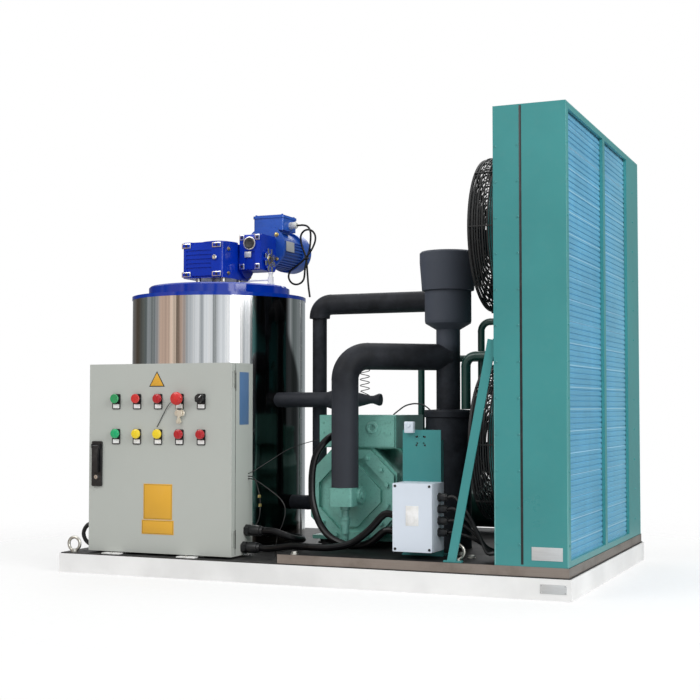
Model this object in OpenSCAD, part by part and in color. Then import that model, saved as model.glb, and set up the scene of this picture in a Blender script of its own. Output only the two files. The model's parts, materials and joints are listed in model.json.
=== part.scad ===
// Flake ice machine on a skid: an insulated ice drum with a twin worm scraper drive,
// a semi-hermetic compressor, an air cooled condenser and a control cabinet.
// Millimetres, +Z up. The origin is at the centre of the skid's underside,
// +X runs along the skid towards the condenser and -Y faces the front.

/* [Base] */
// Length of the skid
skid_l = 1680; // [1660:5:1760]
// Depth of the skid
skid_w = 1080; // [1076:2:1160]
// Height of the skid rails
skid_h = 60; // [50:1:80]
// Wall of the skid rails
rail_t = 5; // [4:0.5:6]
// Width of the rail flanges
rail_flange = 45; // [35:1:55]
// Width of the cross rails
cross_w = 40; // [30:1:50]
// Thickness of the deck plate
deck_t = 3; // [2:0.5:4]
// Height of the folded unit tray
tray_h = 27; // [20:1:35]
// Sheet thickness of the unit tray
tray_t = 2.5; // [1.5:0.5:3]
// Left end of the unit tray
tray_left = -58; // [-70:1:-45]
// Radius of the middle of a lifting ring
eye_r = 21; // [19:0.5:23]
// Radius of the lifting ring's bar
eye_bar_r = 5; // [4:0.5:6]
// Height of a lifting eye's collar
eye_collar_h = 9; // [6:0.5:11]

/* [Ice drum] */
// Drum axis, place along the skid
drum_x = -518; // [-522:1:-514]
// Drum axis, place across the skid
drum_y = -60; // [-62:1:-50]
// Outer radius of the drum jacket
drum_r = 300; // [296:1:301]
// Height of the drum jacket
drum_h = 837; // [800:1:860]
// Sheet thickness of the drum jacket
jacket_t = 1.5; // [1:0.25:2]
// Inner radius of the evaporator
evap_r = 215; // [210:1:220]
// Wall of the evaporator
evap_t = 12; // [9:1:15]
// Thickness of the ring flange
ring_t = 12; // [8:1:16]
// Width that the ring flange stands past the jacket
ring_over = 2; // [1:0.5:3]
// Radius of the drum lid
lid_r = 245; // [240:1:250]
// Height of the drum lid
lid_h = 36; // [30:1:42]
// Plate thickness of the drum lid
lid_t = 6; // [5:0.5:8]
// Radius of the ice outlet in the deck
outlet_r = 222; // [218:1:224]
// Height of the ice outlet collar
outlet_h = 30; // [20:1:34]

/* [Scraper] */
// Radius of the spindle
spindle_r = 22.5; // [20:0.5:25]
// Gap between the blade's teeth and the evaporator
blade_gap = 1.5; // [1:0.25:3]
// Number of teeth on the ice blade
blade_teeth = 26; // [16:1:30]
// Inner radius of the water trough
trough_r = 166; // [160:1:175]
// Height of the water trough
trough_h = 70; // [62:1:80]
// Height of the water tray
pan_h = 34; // [28:1:40]
// Outer radius of the water tray
pan_r = 196; // [180:1:200]

/* [Drive] */
// Length of the main gearbox
gear_l = 162; // [150:1:170]
// Depth of the main gearbox
gear_d = 212; // [200:1:220]
// Height of the main gearbox
gear_h = 124; // [116:1:132]
// Centre distance of the main worm
worm_offset = 75; // [70:1:80]
// Width of the input gearbox
input_l = 82; // [76:1:86]
// Depth of the input gearbox
input_d = 120; // [112:1:126]
// Height of the input gearbox
input_h = 126; // [118:1:134]
// Centre distance of the input worm
input_offset = 54; // [50:1:58]
// Height of the pedestal under the gearbox
pedestal_h = 30; // [24:1:36]
// Radius of the motor body
motor_r = 69; // [64:1:70]
// Length of the motor body
motor_l = 170; // [150:1:190]
// Radius of the motor flange
motor_flange_r = 76; // [72:1:80]
// Length of the fan cowl
cowl_l = 50; // [45:1:60]
// Number of cooling fins round the motor
motor_fins = 26; // [16:1:30]

/* [Control cabinet] */
// Left side of the cabinet
cabinet_x = -751; // [-756:1:-748]
// Front face of the cabinet door
door_front = -505; // [-507:1:-500]
// Width of the cabinet
cabinet_w = 522; // [518:1:526]
// Height of the cabinet
cabinet_h = 600; // [580:1:640]
// Depth of the cabinet body
cabinet_d = 117; // [114:1:119]
// Depth of the door pan
door_d = 22; // [20:0.5:24]
// Sheet thickness of the cabinet
cabinet_t = 2; // [1.5:0.25:2.5]
// Height of the cabinet feet
foot_h = 7; // [5:1:10]
// Pitch of the push button columns
button_pitch = 78; // [70:1:82]
// Height of the upper button row over the cabinet's bottom
button_row = 489; // [480:1:500]
// Distance between the button rows
row_pitch = 112; // [100:1:120]
// Radius of the push buttons
button_r = 11; // [10:0.25:11.5]
// Height that the push buttons stand out
button_out = 8; // [6:0.5:10]
// Radius of the emergency stop's head
estop_r = 19; // [17:0.5:20]
// Height of the latch
latch_h = 145; // [130:1:155]
// Width of the latch
latch_w = 38; // [34:1:42]

/* [Compressor] */
// Middle of the compressor along the skid
comp_x = 87; // [84:0.5:90]
// Front face of the compressor's end cover
comp_front = -300; // [-304:1:-296]
// Width of the end cover
cover_w = 294; // [284:1:300]
// Height of the end cover
cover_h = 299; // [290:1:304]
// Thickness of the end cover
cover_t = 38; // [30:1:45]
// Corner cut of the end cover
cover_cut = 78; // [70:1:85]
// Length of the compressor body
comp_l = 540; // [500:5:570]
// Height of the rubber mounts
rubber_h = 16; // [12:1:20]
// Height of the compressor's terminal box
term_h = 102; // [90:1:106]
// Width of the compressor's terminal box
term_w = 260; // [250:1:266]
// Depth of the compressor's terminal box
term_d = 252; // [240:1:258]

/* [Refrigerant lines] */
// Radius of the insulated suction line
suction_r = 42; // [38:1:44]
// Height of the suction line's level run
suction_z = 690; // [670:1:710]
// Bend radius of the suction line
suction_bend = 72; // [65:1:85]
// Separator axis, place along the skid
sep_x = 356; // [352:1:360]
// Separator axis, place across the skid
sep_y = -150; // [-156:1:-146]
// Radius of the separator's lower vessel
vessel_r = 72; // [68:1:76]
// Radius of the separator's neck
neck_r = 38; // [34:1:40]
// Radius of the separator's lower cup
cup_r = 74; // [70:1:78]
// Radius of the separator's upper cup
cap_r = 90; // [84:1:92]
// Radius of the evaporator's riser
riser_r = 24; // [20:1:28]
// Radius of the evaporator's level line
return_r = 34; // [30:1:36]
// Height of the evaporator's level line
return_z = 874; // [860:1:885]
// Radius of the insulated liquid inlet
inlet_r = 25; // [22:1:27]
// Height of the liquid inlet
inlet_z = 556; // [550:1:566]
// Radius of the green hot gas pipe
gas_r = 11; // [10:0.5:13]
// Radius of the dark pipe into the separator
oil_r = 15; // [13:0.5:15]
// Radius of the liquid receiver
receiver_r = 88; // [78:1:92]
// Length of the liquid receiver
receiver_l = 470; // [420:5:500]

/* [Condenser] */
// Height of the condenser
cond_h = 1298; // [1280:1:1340]
// Gap from the skid's long edges to the condenser
cond_inset = 8; // [5:1:12]
// Depth of the fan plenum
plenum_d = 80; // [75:1:95]
// Depth of the coil case
case_d = 131; // [125:1:140]
// Sheet thickness of the condenser
cond_t = 2; // [1.5:0.25:3]
// Depth that the coil sits behind the case's face
coil_recess = 10; // [8:1:16]
// Depth of the coil block
coil_d = 96; // [80:1:100]
// Width of the case's front stile
stile_w = 30; // [24:1:36]
// Width of the case's rear stile, over the coil's headers
rear_stile = 202; // [180:1:220]
// Width of the rails over and under the coil
rail_w = 18; // [15:1:24]
// Pitch of the coil's tube rows
fin_pitch = 16; // [14:1:25]
// Radius of a fan guard
guard_r = 235; // [228:1:240]
// Height that a fan guard stands out
guard_out = 88; // [84:1:100]
// Thickness of the guard wire
wire = 4; // [3:0.5:5]
// Distance between the fan columns
fan_dx = 534; // [520:1:540]
// Distance between the fan rows
fan_dz = 628; // [600:1:640]
// Radius of the fan blades
fan_r = 206; // [198:1:208]
// Number of blades on a fan
fan_blades = 5; // [4:1:7]
// Width of the brace
brace_w = 26; // [20:1:32]

/* [Junction box] */
// Left side of the junction box
jbox_x = 301; // [297:1:306]
// Width of the junction box
jbox_w = 122; // [116:1:128]
// Depth of the junction box
jbox_d = 107; // [100:1:110]
// Height of the junction box
jbox_h = 199; // [190:1:210]
// Front face of the junction box
jbox_front = -500; // [-504:1:-496]
// Height of the sheet post
post_h = 374; // [350:1:390]

/* [Hidden] */
$fn = 64;

// Colours
white = [0.92, 0.92, 0.91];
black = [0.08, 0.08, 0.09];
steel = [0.75, 0.76, 0.77];
zinc = [0.8, 0.8, 0.78];
tray_grey = [0.49, 0.46, 0.44];
teal = [0.28, 0.57, 0.55];
comp_green = [0.33, 0.59, 0.54];
pipe_green = [0.05, 0.2, 0.16];
lid_blue = [0.08, 0.2, 0.6];
gear_blue = [0.1, 0.24, 0.74];
motor_blue = [0.12, 0.35, 0.7];
cabinet_grey = [0.7, 0.73, 0.7];
foam_black = [0.17, 0.18, 0.2];
fin_blue = [0.35, 0.62, 0.78];
signal_red = [0.8, 0.1, 0.12];
signal_green = [0.1, 0.6, 0.35];
signal_yellow = [0.85, 0.82, 0.15];

// Clearances: a running shaft, a moving neighbour, and a soft sleeve round a pipe
run_gap = 0.05;
move_gap = 0.4;
seat_gap = 0.6;
sleeve_gap = 0.2;

// Levels of the base
deck_z = skid_h + deck_t;
tray_z = deck_z + tray_h;
tray_right = skid_l / 2 - 7;
tray_side = skid_w / 2 - cond_inset + 1;
cross_x = [-200, 320];
eye_end = 38;
eye_side = 30;
tray_eye_end = 336;
tray_eye_side = 43;
eye_places = [for (y = [-1, 1], k = [0, 1]) k == 0
    ? [-skid_l / 2 + eye_end, y * (skid_w / 2 - eye_side), deck_z]
    : [tray_right - tray_eye_end, y * (tray_side - tray_eye_side), tray_z]];

// Levels of the drum, from the deck up
floor_z = deck_z + jacket_t;
ring_z = deck_z + drum_h;
lid_z = ring_z + ring_t;
lid_top = lid_z + lid_h;
evap_out = evap_r + evap_t;
floor_r = outlet_r + 4;
trough_z = skid_h + outlet_h;
spider_t = 10;
hub_z = 134;
hub_h = 44;
hub_r = 40;
spindle_z = hub_z + 6;
collar_h = 8;
pan_z = ring_z - pan_h - 14;
blade_z = trough_z + trough_h + 28;
blade_top = pan_z - 22;
blade_tip = evap_r - blade_gap;
blade_back = blade_tip - 42;
arm_z = [blade_z + 40, blade_top - 40];
arm_h = 26;
arm_w = 18;

// Drive train, hung on the drum's axis
gear_z0 = lid_top + pedestal_h;
gear_z = gear_z0 + gear_h / 2;
gear_top = gear_z0 + gear_h;
gear_x0 = drum_x - 100;
gear_x1 = gear_x0 + gear_l;
gear_y0 = drum_y - 90;
gear_y1 = gear_y0 + gear_d;
worm_y = drum_y + worm_offset;
neck_l = 8;
input_x0 = gear_x1 + neck_l;
input_x1 = input_x0 + input_l;
input_z = gear_z + 8;
input_z0 = input_z - 38;
input_y0 = worm_y - input_d / 2;
input_y1 = worm_y + input_d / 2;
motor_x = (input_x0 + input_x1) / 2;
motor_z = input_z + input_offset;
motor_flange_t = 12;
motor_y0 = input_y1 + motor_flange_t;
motor_y1 = motor_y0 + motor_l;
motor_box = [120, 110, 56];
motor_box_x = motor_x - 60;
motor_box_y = motor_y0 + 10;
motor_box_z = motor_z + motor_r - 5;
motor_gland = [motor_box_x + motor_box.x, motor_box_y + 55, motor_box_z + 20];
gland_l = 28;
lead_r = 3.5;
water_x = drum_x + 210;
water_y = drum_y - 20;

// Cabinet, on feet over the deck
cab_z = deck_z + foot_h;
cab_top = cab_z + cabinet_h;
cab_x1 = cabinet_x + cabinet_w;
door_back = door_front + door_d;
cab_front = door_back + seat_gap;
cab_back = cab_front + cabinet_d;
hinge_x = cab_x1 - 2.6;
hinge_y = door_back - 10.9;
hinge_pin_r = 2.5;
hinge_h = 56;
hinge_z = [cab_z + 24, cab_top - 24 - hinge_h];
lug_t = 4;
button_x0 = cabinet_x + 102.4;
row_z = [cab_z + button_row, cab_z + button_row - row_pitch];
bezel_r = 14.6;
bezel_t = 6;
neck_out = 13;
block_d = 34;
button_bore = button_r + run_gap + 0.01;
push_travel = 4;
bore_floor = door_front + 16;
latch_x = cabinet_x + 13;
latch_z = cab_z + 207;
latch_mid = latch_x + latch_w / 2;
latch_t = 6;
ear_t = 4;
grip_w = 20;
grip_pin_r = 2;
grip_y = door_front - latch_t - 5;
grip_z = latch_z + latch_h - 16;
grip_l = 84;
key_z = latch_z + 30;
key_r = 6.5;
plate_y = cab_back - 14;

// Compressor, on rubber mounts over the tray
comp_z0 = tray_z + rubber_h;
foot_t = 12;
cover_z0 = comp_z0;
cover_top = cover_z0 + cover_h;
cover_back = comp_front + cover_t;
comp_back = cover_back + comp_l;
comp_left = comp_x - cover_w / 2;
comp_right = comp_x + cover_w / 2;
crank_y = cover_back + 250;
term_x = comp_right - term_w;
term_y = comp_front;
head_z = cover_top + 56;
rubber_places = [for (x = [-1, 1], y = [cover_back + 90, comp_back - 70]) [comp_x + x * 140, y]];

// Suction side
valve_x = 94;
valve_y = -370;
valve_z = 228;
valve_h = 57;
valve_half = 40;
sep_shoulder = 523;
cone_z = 777;
cup_z = 805;
cap_z = 902;
cap_top = 1025;
riser = [-114, -100];
inlet_y = -160;
inlet_end = 130;
gas_x = 222;
gas_y = -30;
gas_z = 690;
oil_x = sep_x + 57;
oil_y = sep_y + 5;
liquid_x = 450;
liquid_y = -100;
liquid_z = 803;
liquid_low = 590;
seam = 0.4;
receiver_y = 400;
receiver_x = 20;
receiver_z = tray_z + 16 + receiver_r;

// Condenser, standing on the tray
case_x1 = skid_l / 2 - 9;
case_x0 = case_x1 - case_d;
plenum_x = case_x0 - plenum_d;
cond_z = tray_z;
cond_top = cond_z + cond_h;
cond_side = skid_w / 2 - cond_inset;
cond_mid = cond_z + cond_h / 2;
coil_x1 = case_x1 - coil_recess;
mullion_w = 30;
mullion_y = -48;
throat_r = fan_r + 8;
throat_t = 3;
throat_l = 34;
axle_r = 8;
fan_hub_r = 56;
fan_hub_l = 40;
guard_x = plenum_x - guard_out;
hub_plate_r = 46;
hub_plate_t = 5;
fan_x = guard_x + wire + hub_plate_t + 3;

// Junction box and cable entries
post_y = jbox_front + jbox_d;
post_x = jbox_x - 8;
post_w = 121;
post_t = 3;
jbox_z = tray_z + 21;
box_gland_z = [for (i = [0 : 3]) jbox_z + 157 - 34 * i];
box_gland_y = jbox_front + 58;
lead_end_y = [for (i = [0 : 3]) -480 + 24 * i];
lead_end_z = tray_z + 26;
box_lead_r = 5;
conduit_r = 11;
gland_r = 16;
supply_gland = [cab_x1, -410, 145];
control_gland = [cab_x1, -430, 94];
feed_gland = [jbox_x, -440, 212];
return_gland = [jbox_x, -432, 163];
comp_gland = [34, term_y, cover_top + 35];
pump_angle = -30;
cabinet_gland_l = 62;
side_gland_l = 20;

// Routes of the conduits, from gland to gland
end_gap = 0.6;
feed_route = [control_gland + [cabinet_gland_l + end_gap, 0, 0], control_gland + [cabinet_gland_l + 38, 0, 0],
    [-50, -445, 106], [20, -468, 108], [90, -466, 110], [150, -452, 124], [205, -444, 165],
    feed_gland - [side_gland_l + 30, 0, 0], feed_gland - [side_gland_l + end_gap, 0, 0]];
return_route = [comp_gland - [0, side_gland_l + end_gap, 0], comp_gland - [0, side_gland_l + 22, 0],
    [20, -364, 421], [-2, -372, 386], [-13, -375, 342], [-15, -378, 296], [-8, -386, 240], [18, -398, 180],
    [56, -410, 140], [102, -418, 119], [148, -421, 113], [200, -427, 126],
    return_gland - [side_gland_l + 30, 0, 0], return_gland - [side_gland_l + end_gap, 0, 0]];
pump_way = [cos(pump_angle), sin(pump_angle), 0];
pump_end = [drum_x, drum_y, 120] + pump_way * (drum_r + side_gland_l);
pump_route = [supply_gland + [cabinet_gland_l + end_gap, 0, 0], supply_gland + [cabinet_gland_l + 38, 0, 0],
    [-78, -402, 128], [-62, -360, 118], [-80, -310, 116], [-125, -280, 118],
    pump_end + pump_way * 36, pump_end + pump_way * end_gap];
// Route of the motor's tied lead: down from its gland, up in a loop, and down to a bare end
lead_route = [motor_gland + [gland_l, 0, 0], [-307, 152, 1186], [-295, 152, 1186], [-280, 152, 1182],
    [-269, 152, 1171], [-265, 152, 1156], [-265, 152, 1130], [-269, 152, 1098], [-279, 152, 1064],
    [-286, 151, 1030], [-288, 150, 1002], [-292, 149, 987], [-303, 148, 976], [-318, 147, 972],
    [-333, 146, 976], [-344, 145, 987], [-348, 144, 1002], [-344, 144, 1017], [-333, 144, 1028],
    [-308, 144, 1044], [-283, 144, 1064], [-260, 143, 1089], [-245, 142, 1116], [-241, 142, 1136],
    [-245, 142, 1151], [-256, 142, 1163], [-272, 142, 1167], [-287, 143, 1163], [-299, 146, 1151],
    [-303, 150, 1136], [-301, 155, 1112], [-292, 159, 1086], [-285, 160, 1060], [-281, 160, 1015],
    [-277, 160, 968], [-271, 160, 926]];

function unit(v) = v / norm(v);

// Smooth curve through the given points, with some steps between each two
function smooth(p, steps) = [
    for (i = [0 : len(p) - 2], j = [0 : steps - 1])
        let (t = j / steps, a = p[max(i - 1, 0)], b = p[i], c = p[i + 1], d = p[min(i + 2, len(p) - 1)])
        (2 * b + (c - a) * t + (2 * a - 5 * b + 4 * c - d) * t * t
            + (3 * b - a - 3 * c + d) * t * t * t) / 2,
    p[len(p) - 1]];

// Directions along a path, and side vectors that turn with it
function headings(p) = [for (i = [0 : len(p) - 1]) unit(p[min(i + 1, len(p) - 1)] - p[max(i - 1, 0)])];
function sides(dirs, last, i = 0) = i == len(dirs) ? [] :
    let (n = unit(last - dirs[i] * (last * dirs[i]))) concat([n], sides(dirs, n, i + 1));

// Box between two corners
module box(low, high) {
    translate(low) cube(high - low);
}

// Cylinders that start at a point and run along X or Y
module rod_x(start, r, l) {
    translate(start) rotate([0, 90, 0]) cylinder(h = l, r = r);
}

module rod_y(start, r, l) {
    translate(start) rotate([-90, 0, 0]) cylinder(h = l, r = r);
}

// Hexagon head along Y
module bolt_y(start, r, l) {
    translate(start) rotate([-90, 0, 0]) cylinder(h = l, r = r, $fn = 6);
}

// Outline with round corners, from one corner
module round_square(w, h, r) {
    translate([r, 0]) square([w - 2 * r, h]);
    translate([0, r]) square([w, h - 2 * r]);
    for (x = [r, w - r], y = [r, h - r]) translate([x, y]) circle(r = r);
}

// Outline with cut corners, about its middle
module cut_square(w, h, cut) {
    a = w / 2;
    b = h / 2;
    polygon([[-a + cut, -b], [a - cut, -b], [a, -b + cut], [a, b - cut], [a - cut, b], [-a + cut, b],
        [-a, b - cut], [-a, -b + cut]]);
}

// Upright sheet outline in X and Z, pushed back along Y
module front_plate(x, y, z, depth) {
    translate([x, y + depth, z]) rotate([90, 0, 0]) linear_extrude(depth) children();
}

// Straight rod between two points
module rod(a, b, r) {
    d = b - a;
    translate(a) rotate([0, acos(d.z / norm(d)), atan2(d.y, d.x)]) cylinder(h = norm(d), r = r);
}

// Round bend of a pipe at a corner
module elbow(corner, way_in, way_out, r, bend) {
    turn = acos(way_in * way_out);
    side = unit(way_out - way_in * (way_in * way_out));
    c = corner - way_in * bend * tan(turn / 2) + side * bend;
    x = -side;
    z = cross(x, way_in);
    multmatrix([[x.x, way_in.x, z.x, c.x], [x.y, way_in.y, z.y, c.y], [x.z, way_in.z, z.z, c.z],
        [0, 0, 0, 1]])
        rotate_extrude(angle = turn) translate([bend, 0]) circle(r = r);
}

// Pipe with round bends through a list of corners
module pipe_run(p, r, bend) {
    n = len(p);
    way = [for (i = [0 : n - 2]) unit(p[i + 1] - p[i])];
    trim = [for (i = [0 : n - 1]) i == 0 || i == n - 1 ? 0 : bend * tan(acos(way[i - 1] * way[i]) / 2)];
    for (i = [0 : n - 2]) rod(p[i] + way[i] * trim[i], p[i + 1] - way[i] * trim[i + 1], r);
    for (i = [1 : n - 2]) {
        elbow(p[i], way[i - 1], way[i], r, bend);
        // Bands over the two seams of the bend
        rod(p[i] - way[i - 1] * (trim[i] + 3), p[i] - way[i - 1] * (trim[i] - 1.5), r + seam);
        rod(p[i] + way[i] * (trim[i] - 1.5), p[i] + way[i] * (trim[i] + 3), r + seam);
    }
}

// Flexible lead swept along a smooth curve
module flex(p, r, steps, count, side) {
    path = smooth(p, steps);
    n = len(path);
    // Both ends are cut square to the line's first and last stretch
    ways = headings(path);
    dirs = [for (i = [0 : n - 1]) i == 0 ? unit(p[1] - p[0]) :
        i == n - 1 ? unit(p[len(p) - 1] - p[len(p) - 2]) : ways[i]];
    across = sides(dirs, side);
    points = [for (i = [0 : n - 1], s = [0 : count - 1])
        path[i] + r * (cos(360 * s / count) * across[i] + sin(360 * s / count) * cross(dirs[i], across[i]))];
    walls = [for (i = [0 : n - 2], s = [0 : count - 1])
        [i * count + s, (i + 1) * count + s, (i + 1) * count + (s + 1) % count, i * count + (s + 1) % count]];
    first = [for (s = [0 : count - 1]) s];
    last = [for (s = [0 : count - 1]) n * count - 1 - s];
    polyhedron(points = points, faces = concat([first], walls, [last]));
}

// Ring turned from a rectangle
module ring(r_in, r_out, h) {
    rotate_extrude() translate([r_in, 0]) square([r_out - r_in, h]);
}

module at_drum(z) {
    translate([drum_x, drum_y, z]) children();
}

// Base

module cross_rail(x) {
    y = skid_w / 2 - rail_flange;
    translate([x, y, 0]) rotate([90, 0, 0]) linear_extrude(2 * y)
        polygon([[0, 0], [cross_w, 0], [cross_w, rail_t], [rail_t, rail_t], [rail_t, skid_h - rail_t],
            [cross_w, skid_h - rail_t], [cross_w, skid_h], [0, skid_h]]);
}

module skid_frame() color(white) {
    a = [skid_l / 2, skid_w / 2, 0];
    difference() {
        box(-a, a + [0, 0, skid_h]);
        box(-a + [rail_t, rail_t, rail_t], a + [-rail_t, -rail_t, skid_h - rail_t]);
        box(-a + [rail_flange, rail_flange, -1], a + [-rail_flange, -rail_flange, skid_h + 1]);
    }
    for (x = cross_x) cross_rail(x);
}

module deck_plate() color(black) difference() {
    union() {
        edge = [skid_l / 2 - 4, skid_w / 2 - 4];
        box([-edge.x, -edge.y, skid_h], [edge.x, edge.y, deck_z]);
        at_drum(skid_h) cylinder(h = outlet_h, r = outlet_r + 3);
    }
    at_drum(skid_h - 1) cylinder(h = outlet_h + 2, r = outlet_r);
}

module unit_tray() color(tray_grey) difference() {
    box([tray_left, -tray_side, deck_z], [tray_right, tray_side, tray_z]);
    box([tray_left + tray_t, -tray_side + tray_t, deck_z - 1],
        [tray_right - tray_t, tray_side - tray_t, tray_z - tray_t]);
}

module lifting_eye() {
    cylinder(h = eye_collar_h, r = 13);
    translate([0, 0, eye_collar_h - 4 + eye_r]) rotate([90, 0, 0])
        rotate_extrude() translate([eye_r, 0]) circle(r = eye_bar_r);
}

module lifting_eyes() color(zinc) {
    for (p = eye_places) translate(p) lifting_eye();
}

// Ice drum

module drum_shell() color(steel) at_drum(0) rotate_extrude()
    polygon([[floor_r, deck_z], [drum_r, deck_z], [drum_r, ring_z], [drum_r - jacket_t, ring_z],
        [drum_r - jacket_t, floor_z], [floor_r, floor_z]]);

module drum_insulation() color([0.9, 0.85, 0.6])
    at_drum(floor_z) ring(evap_out + sleeve_gap, drum_r - jacket_t - sleeve_gap, ring_z - floor_z);

module evaporator_cylinder() color(steel) difference() {
    at_drum(trough_z + spider_t) ring(evap_r, evap_out, ring_z - trough_z - spider_t);
    // Groove that the ring flange's seal sits in
    at_drum(ring_z - 2) ring(evap_r + 4, evap_r + 8, 3);
}

module drum_top_flange() color(lid_blue) at_drum(ring_z) ring(evap_r - 8, drum_r + ring_over, ring_t);

module drum_lid() color(lid_blue) at_drum(0) rotate_extrude()
    polygon([[spindle_r + 6, lid_top], [lid_r - 5, lid_top], [lid_r, lid_top - 5], [lid_r, lid_z],
        [lid_r - lid_t, lid_z], [lid_r - lid_t, lid_top - lid_t], [spindle_r + 40, lid_top - lid_t],
        [spindle_r + 34, lid_z], [spindle_r + 6, lid_z]]);

module bottom_spider() color(steel) {
    difference() {
        at_drum(trough_z) rotate_extrude()
            polygon([[trough_r, 0], [evap_out, 0], [evap_out, spider_t], [trough_r + 3, spider_t],
                [trough_r + 3, trough_h], [trough_r, trough_h]]);
        at_drum(trough_z + trough_h / 2) rotate([0, 90, 200]) cylinder(h = trough_r + 20, r = 6);
    }
    difference() {
        union() {
            at_drum(hub_z) cylinder(h = hub_h, r = hub_r);
            for (a = [20, 140, 260]) at_drum(hub_z) rotate(a)
                translate([hub_r - 5, -7, 0]) cube([trough_r - hub_r + 6, 14, trough_z + trough_h - hub_z]);
        }
        at_drum(spindle_z) cylinder(h = hub_h, r = spindle_r + run_gap);
    }
}

// Scraper, turning on the spindle

module spindle() color(steel) {
    at_drum(spindle_z + 0.5) cylinder(h = gear_top - 20 - spindle_z, r = spindle_r);
    at_drum(pan_z - collar_h) cylinder(h = collar_h, r = spindle_r + 12);
    for (z = arm_z, a = [250, 70]) at_drum(z - arm_h / 2) rotate(a) {
        cylinder(h = arm_h, r = spindle_r + 14);
        reach = a == 250 ? blade_back : blade_back - 6;
        translate([0, -arm_w / 2, 0]) cube([reach, arm_w, arm_h]);
    }
}

module ice_blade() color(zinc) {
    h = blade_top - blade_z;
    tooth = h / blade_teeth;
    at_drum(0) rotate(250) translate([0, 8, 0]) rotate([90, 0, 0]) linear_extrude(16)
        polygon(concat([[blade_back, blade_top], [blade_back, blade_z]],
            [for (i = [0 : blade_teeth - 1], k = [0, 1])
                k == 0 ? [blade_tip - 9, blade_z + i * tooth] : [blade_tip, blade_z + (i + 0.4) * tooth]],
            [[blade_tip - 9, blade_top]]));
}

module water_tray() color(steel) {
    difference() {
        at_drum(pan_z) rotate_extrude()
            polygon([[spindle_r + sleeve_gap, 0], [pan_r, 0], [pan_r, pan_h], [pan_r - 3, pan_h],
                [pan_r - 3, 3], [spindle_r + 15, 3], [spindle_r + 15, pan_h - 6],
                [spindle_r + sleeve_gap, pan_h - 6]]);
        for (a = [0 : 30 : 330]) at_drum(pan_z + 9) rotate([0, 90, a])
            translate([0, 0, pan_r - 10]) cylinder(h = 20, r = 3);
    }
}

module squeegee() color(black) {
    back = blade_back - 6;
    at_drum(0) rotate(70) difference() {
        translate([back, -7, blade_z]) cube([evap_r - 1.2 - back, 14, blade_top - blade_z]);
        for (s = [-1, 1]) translate([evap_r - 26, s * 14, blade_z - 1]) rotate(s * 24)
            translate([0, -10, 0]) cube([60, 20, blade_top - blade_z + 2]);
    }
}

// Drive

module gearbox_pedestal() color(steel) difference() {
    union() {
        at_drum(lid_top) cylinder(h = 10, r = 78);
        for (x = [-52, 46], y = [-58, 58]) at_drum(lid_top) translate([x, y, 0]) {
            cylinder(h = pedestal_h, r = 9);
            cylinder(h = 16, r = 13, $fn = 6);
        }
    }
    at_drum(lid_top - 1) cylinder(h = 12, r = spindle_r + 8);
}

// Machined foot pad with a bolt hole, on the front face of a gearbox
module foot_pad(x, y, z, w, h) {
    difference() {
        box([x - w / 2, y - 2.5, z - h / 2], [x + w / 2, y + 6, z + h / 2]);
        rod_y([x, y - 4, z], 4.2, 20);
    }
}

module main_gearbox() color(gear_blue) {
    pads = [for (x = [gear_x0 + 19, gear_x1 - 24], z = [gear_z0 + 12, gear_top - 12]) [x, z]];
    difference() {
        union() {
            translate([gear_x0, gear_y0, gear_z0]) linear_extrude(gear_h) round_square(gear_l, gear_d, 16);
            rod_x([gear_x0 - 7, worm_y, gear_z], 36, 8);
            rod_x([gear_x1 - 1, worm_y, gear_z], 54, neck_l + 1);
            at_drum(gear_top - 1) cylinder(h = 6, r = 64);
            at_drum(gear_top + 4) cylinder(h = 5, r = 40);
            rod_y([gear_x1 - 32, gear_y0 - 3, gear_z + 7], 9, 6);
        }
        // Cooling ribs left standing on the front face
        for (i = [-2 : 2]) translate([gear_x0 + 18, gear_y0 - 1, gear_z + i * 15 - 4])
            cube([gear_l - 64, 4, 8]);
        for (z = [gear_z0 - 1, gear_top - 7]) translate([gear_x0 + 40, gear_y0 - 1, z])
            cube([gear_l - 86, 7, 8]);
        // Hollow output shaft
        at_drum(gear_z0 - 1) cylinder(h = gear_h - 10, r = spindle_r + run_gap);
        for (p = pads) rod_y([p.x, gear_y0 - 1, p.y], 4.2, 15);
        for (a = [45 : 90 : 315]) at_drum(gear_top + 2) rotate(a)
            translate([52, 0, 0]) cylinder(h = 4, r = 3.5);
    }
    for (p = pads) foot_pad(p.x, gear_y0, p.y, 36, 18);
}

module input_gearbox() color(gear_blue) difference() {
    union() {
        translate([input_x0, input_y0, input_z0]) rotate([90, 0, 90]) linear_extrude(input_l)
            round_square(input_d, input_h, 14);
        // Pads at the corners of the front face, cap over the worm's free end
        for (x = [input_x0 + 11, input_x1 - 11], z = [input_z0 + 12, input_z0 + input_h - 12])
            foot_pad(x, input_y0, z, 20, 20);
        rod_y([motor_x, input_y0 - 5, motor_z], 23, 8);
        // Star cover over the wheel's free end
        rod_x([input_x1 - 1, worm_y, input_z], 30, 9);
        for (a = [0 : 45 : 315]) translate([0, worm_y, input_z]) rotate([a, 0, 0])
            rod_x([input_x1 - 1, 0, 33], 7.5, 9);
    }
    // Recess between the pads
    box([input_x0 + 22, input_y0 - 1, input_z0 - 1], [input_x1 - 22, input_y0 + 5, motor_z - 26]);
    rod_x([input_x1 + 4, worm_y, input_z], 15, 10);
    rod_y([motor_x, input_y0 - 7, motor_z], 18, 4);
}

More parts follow.
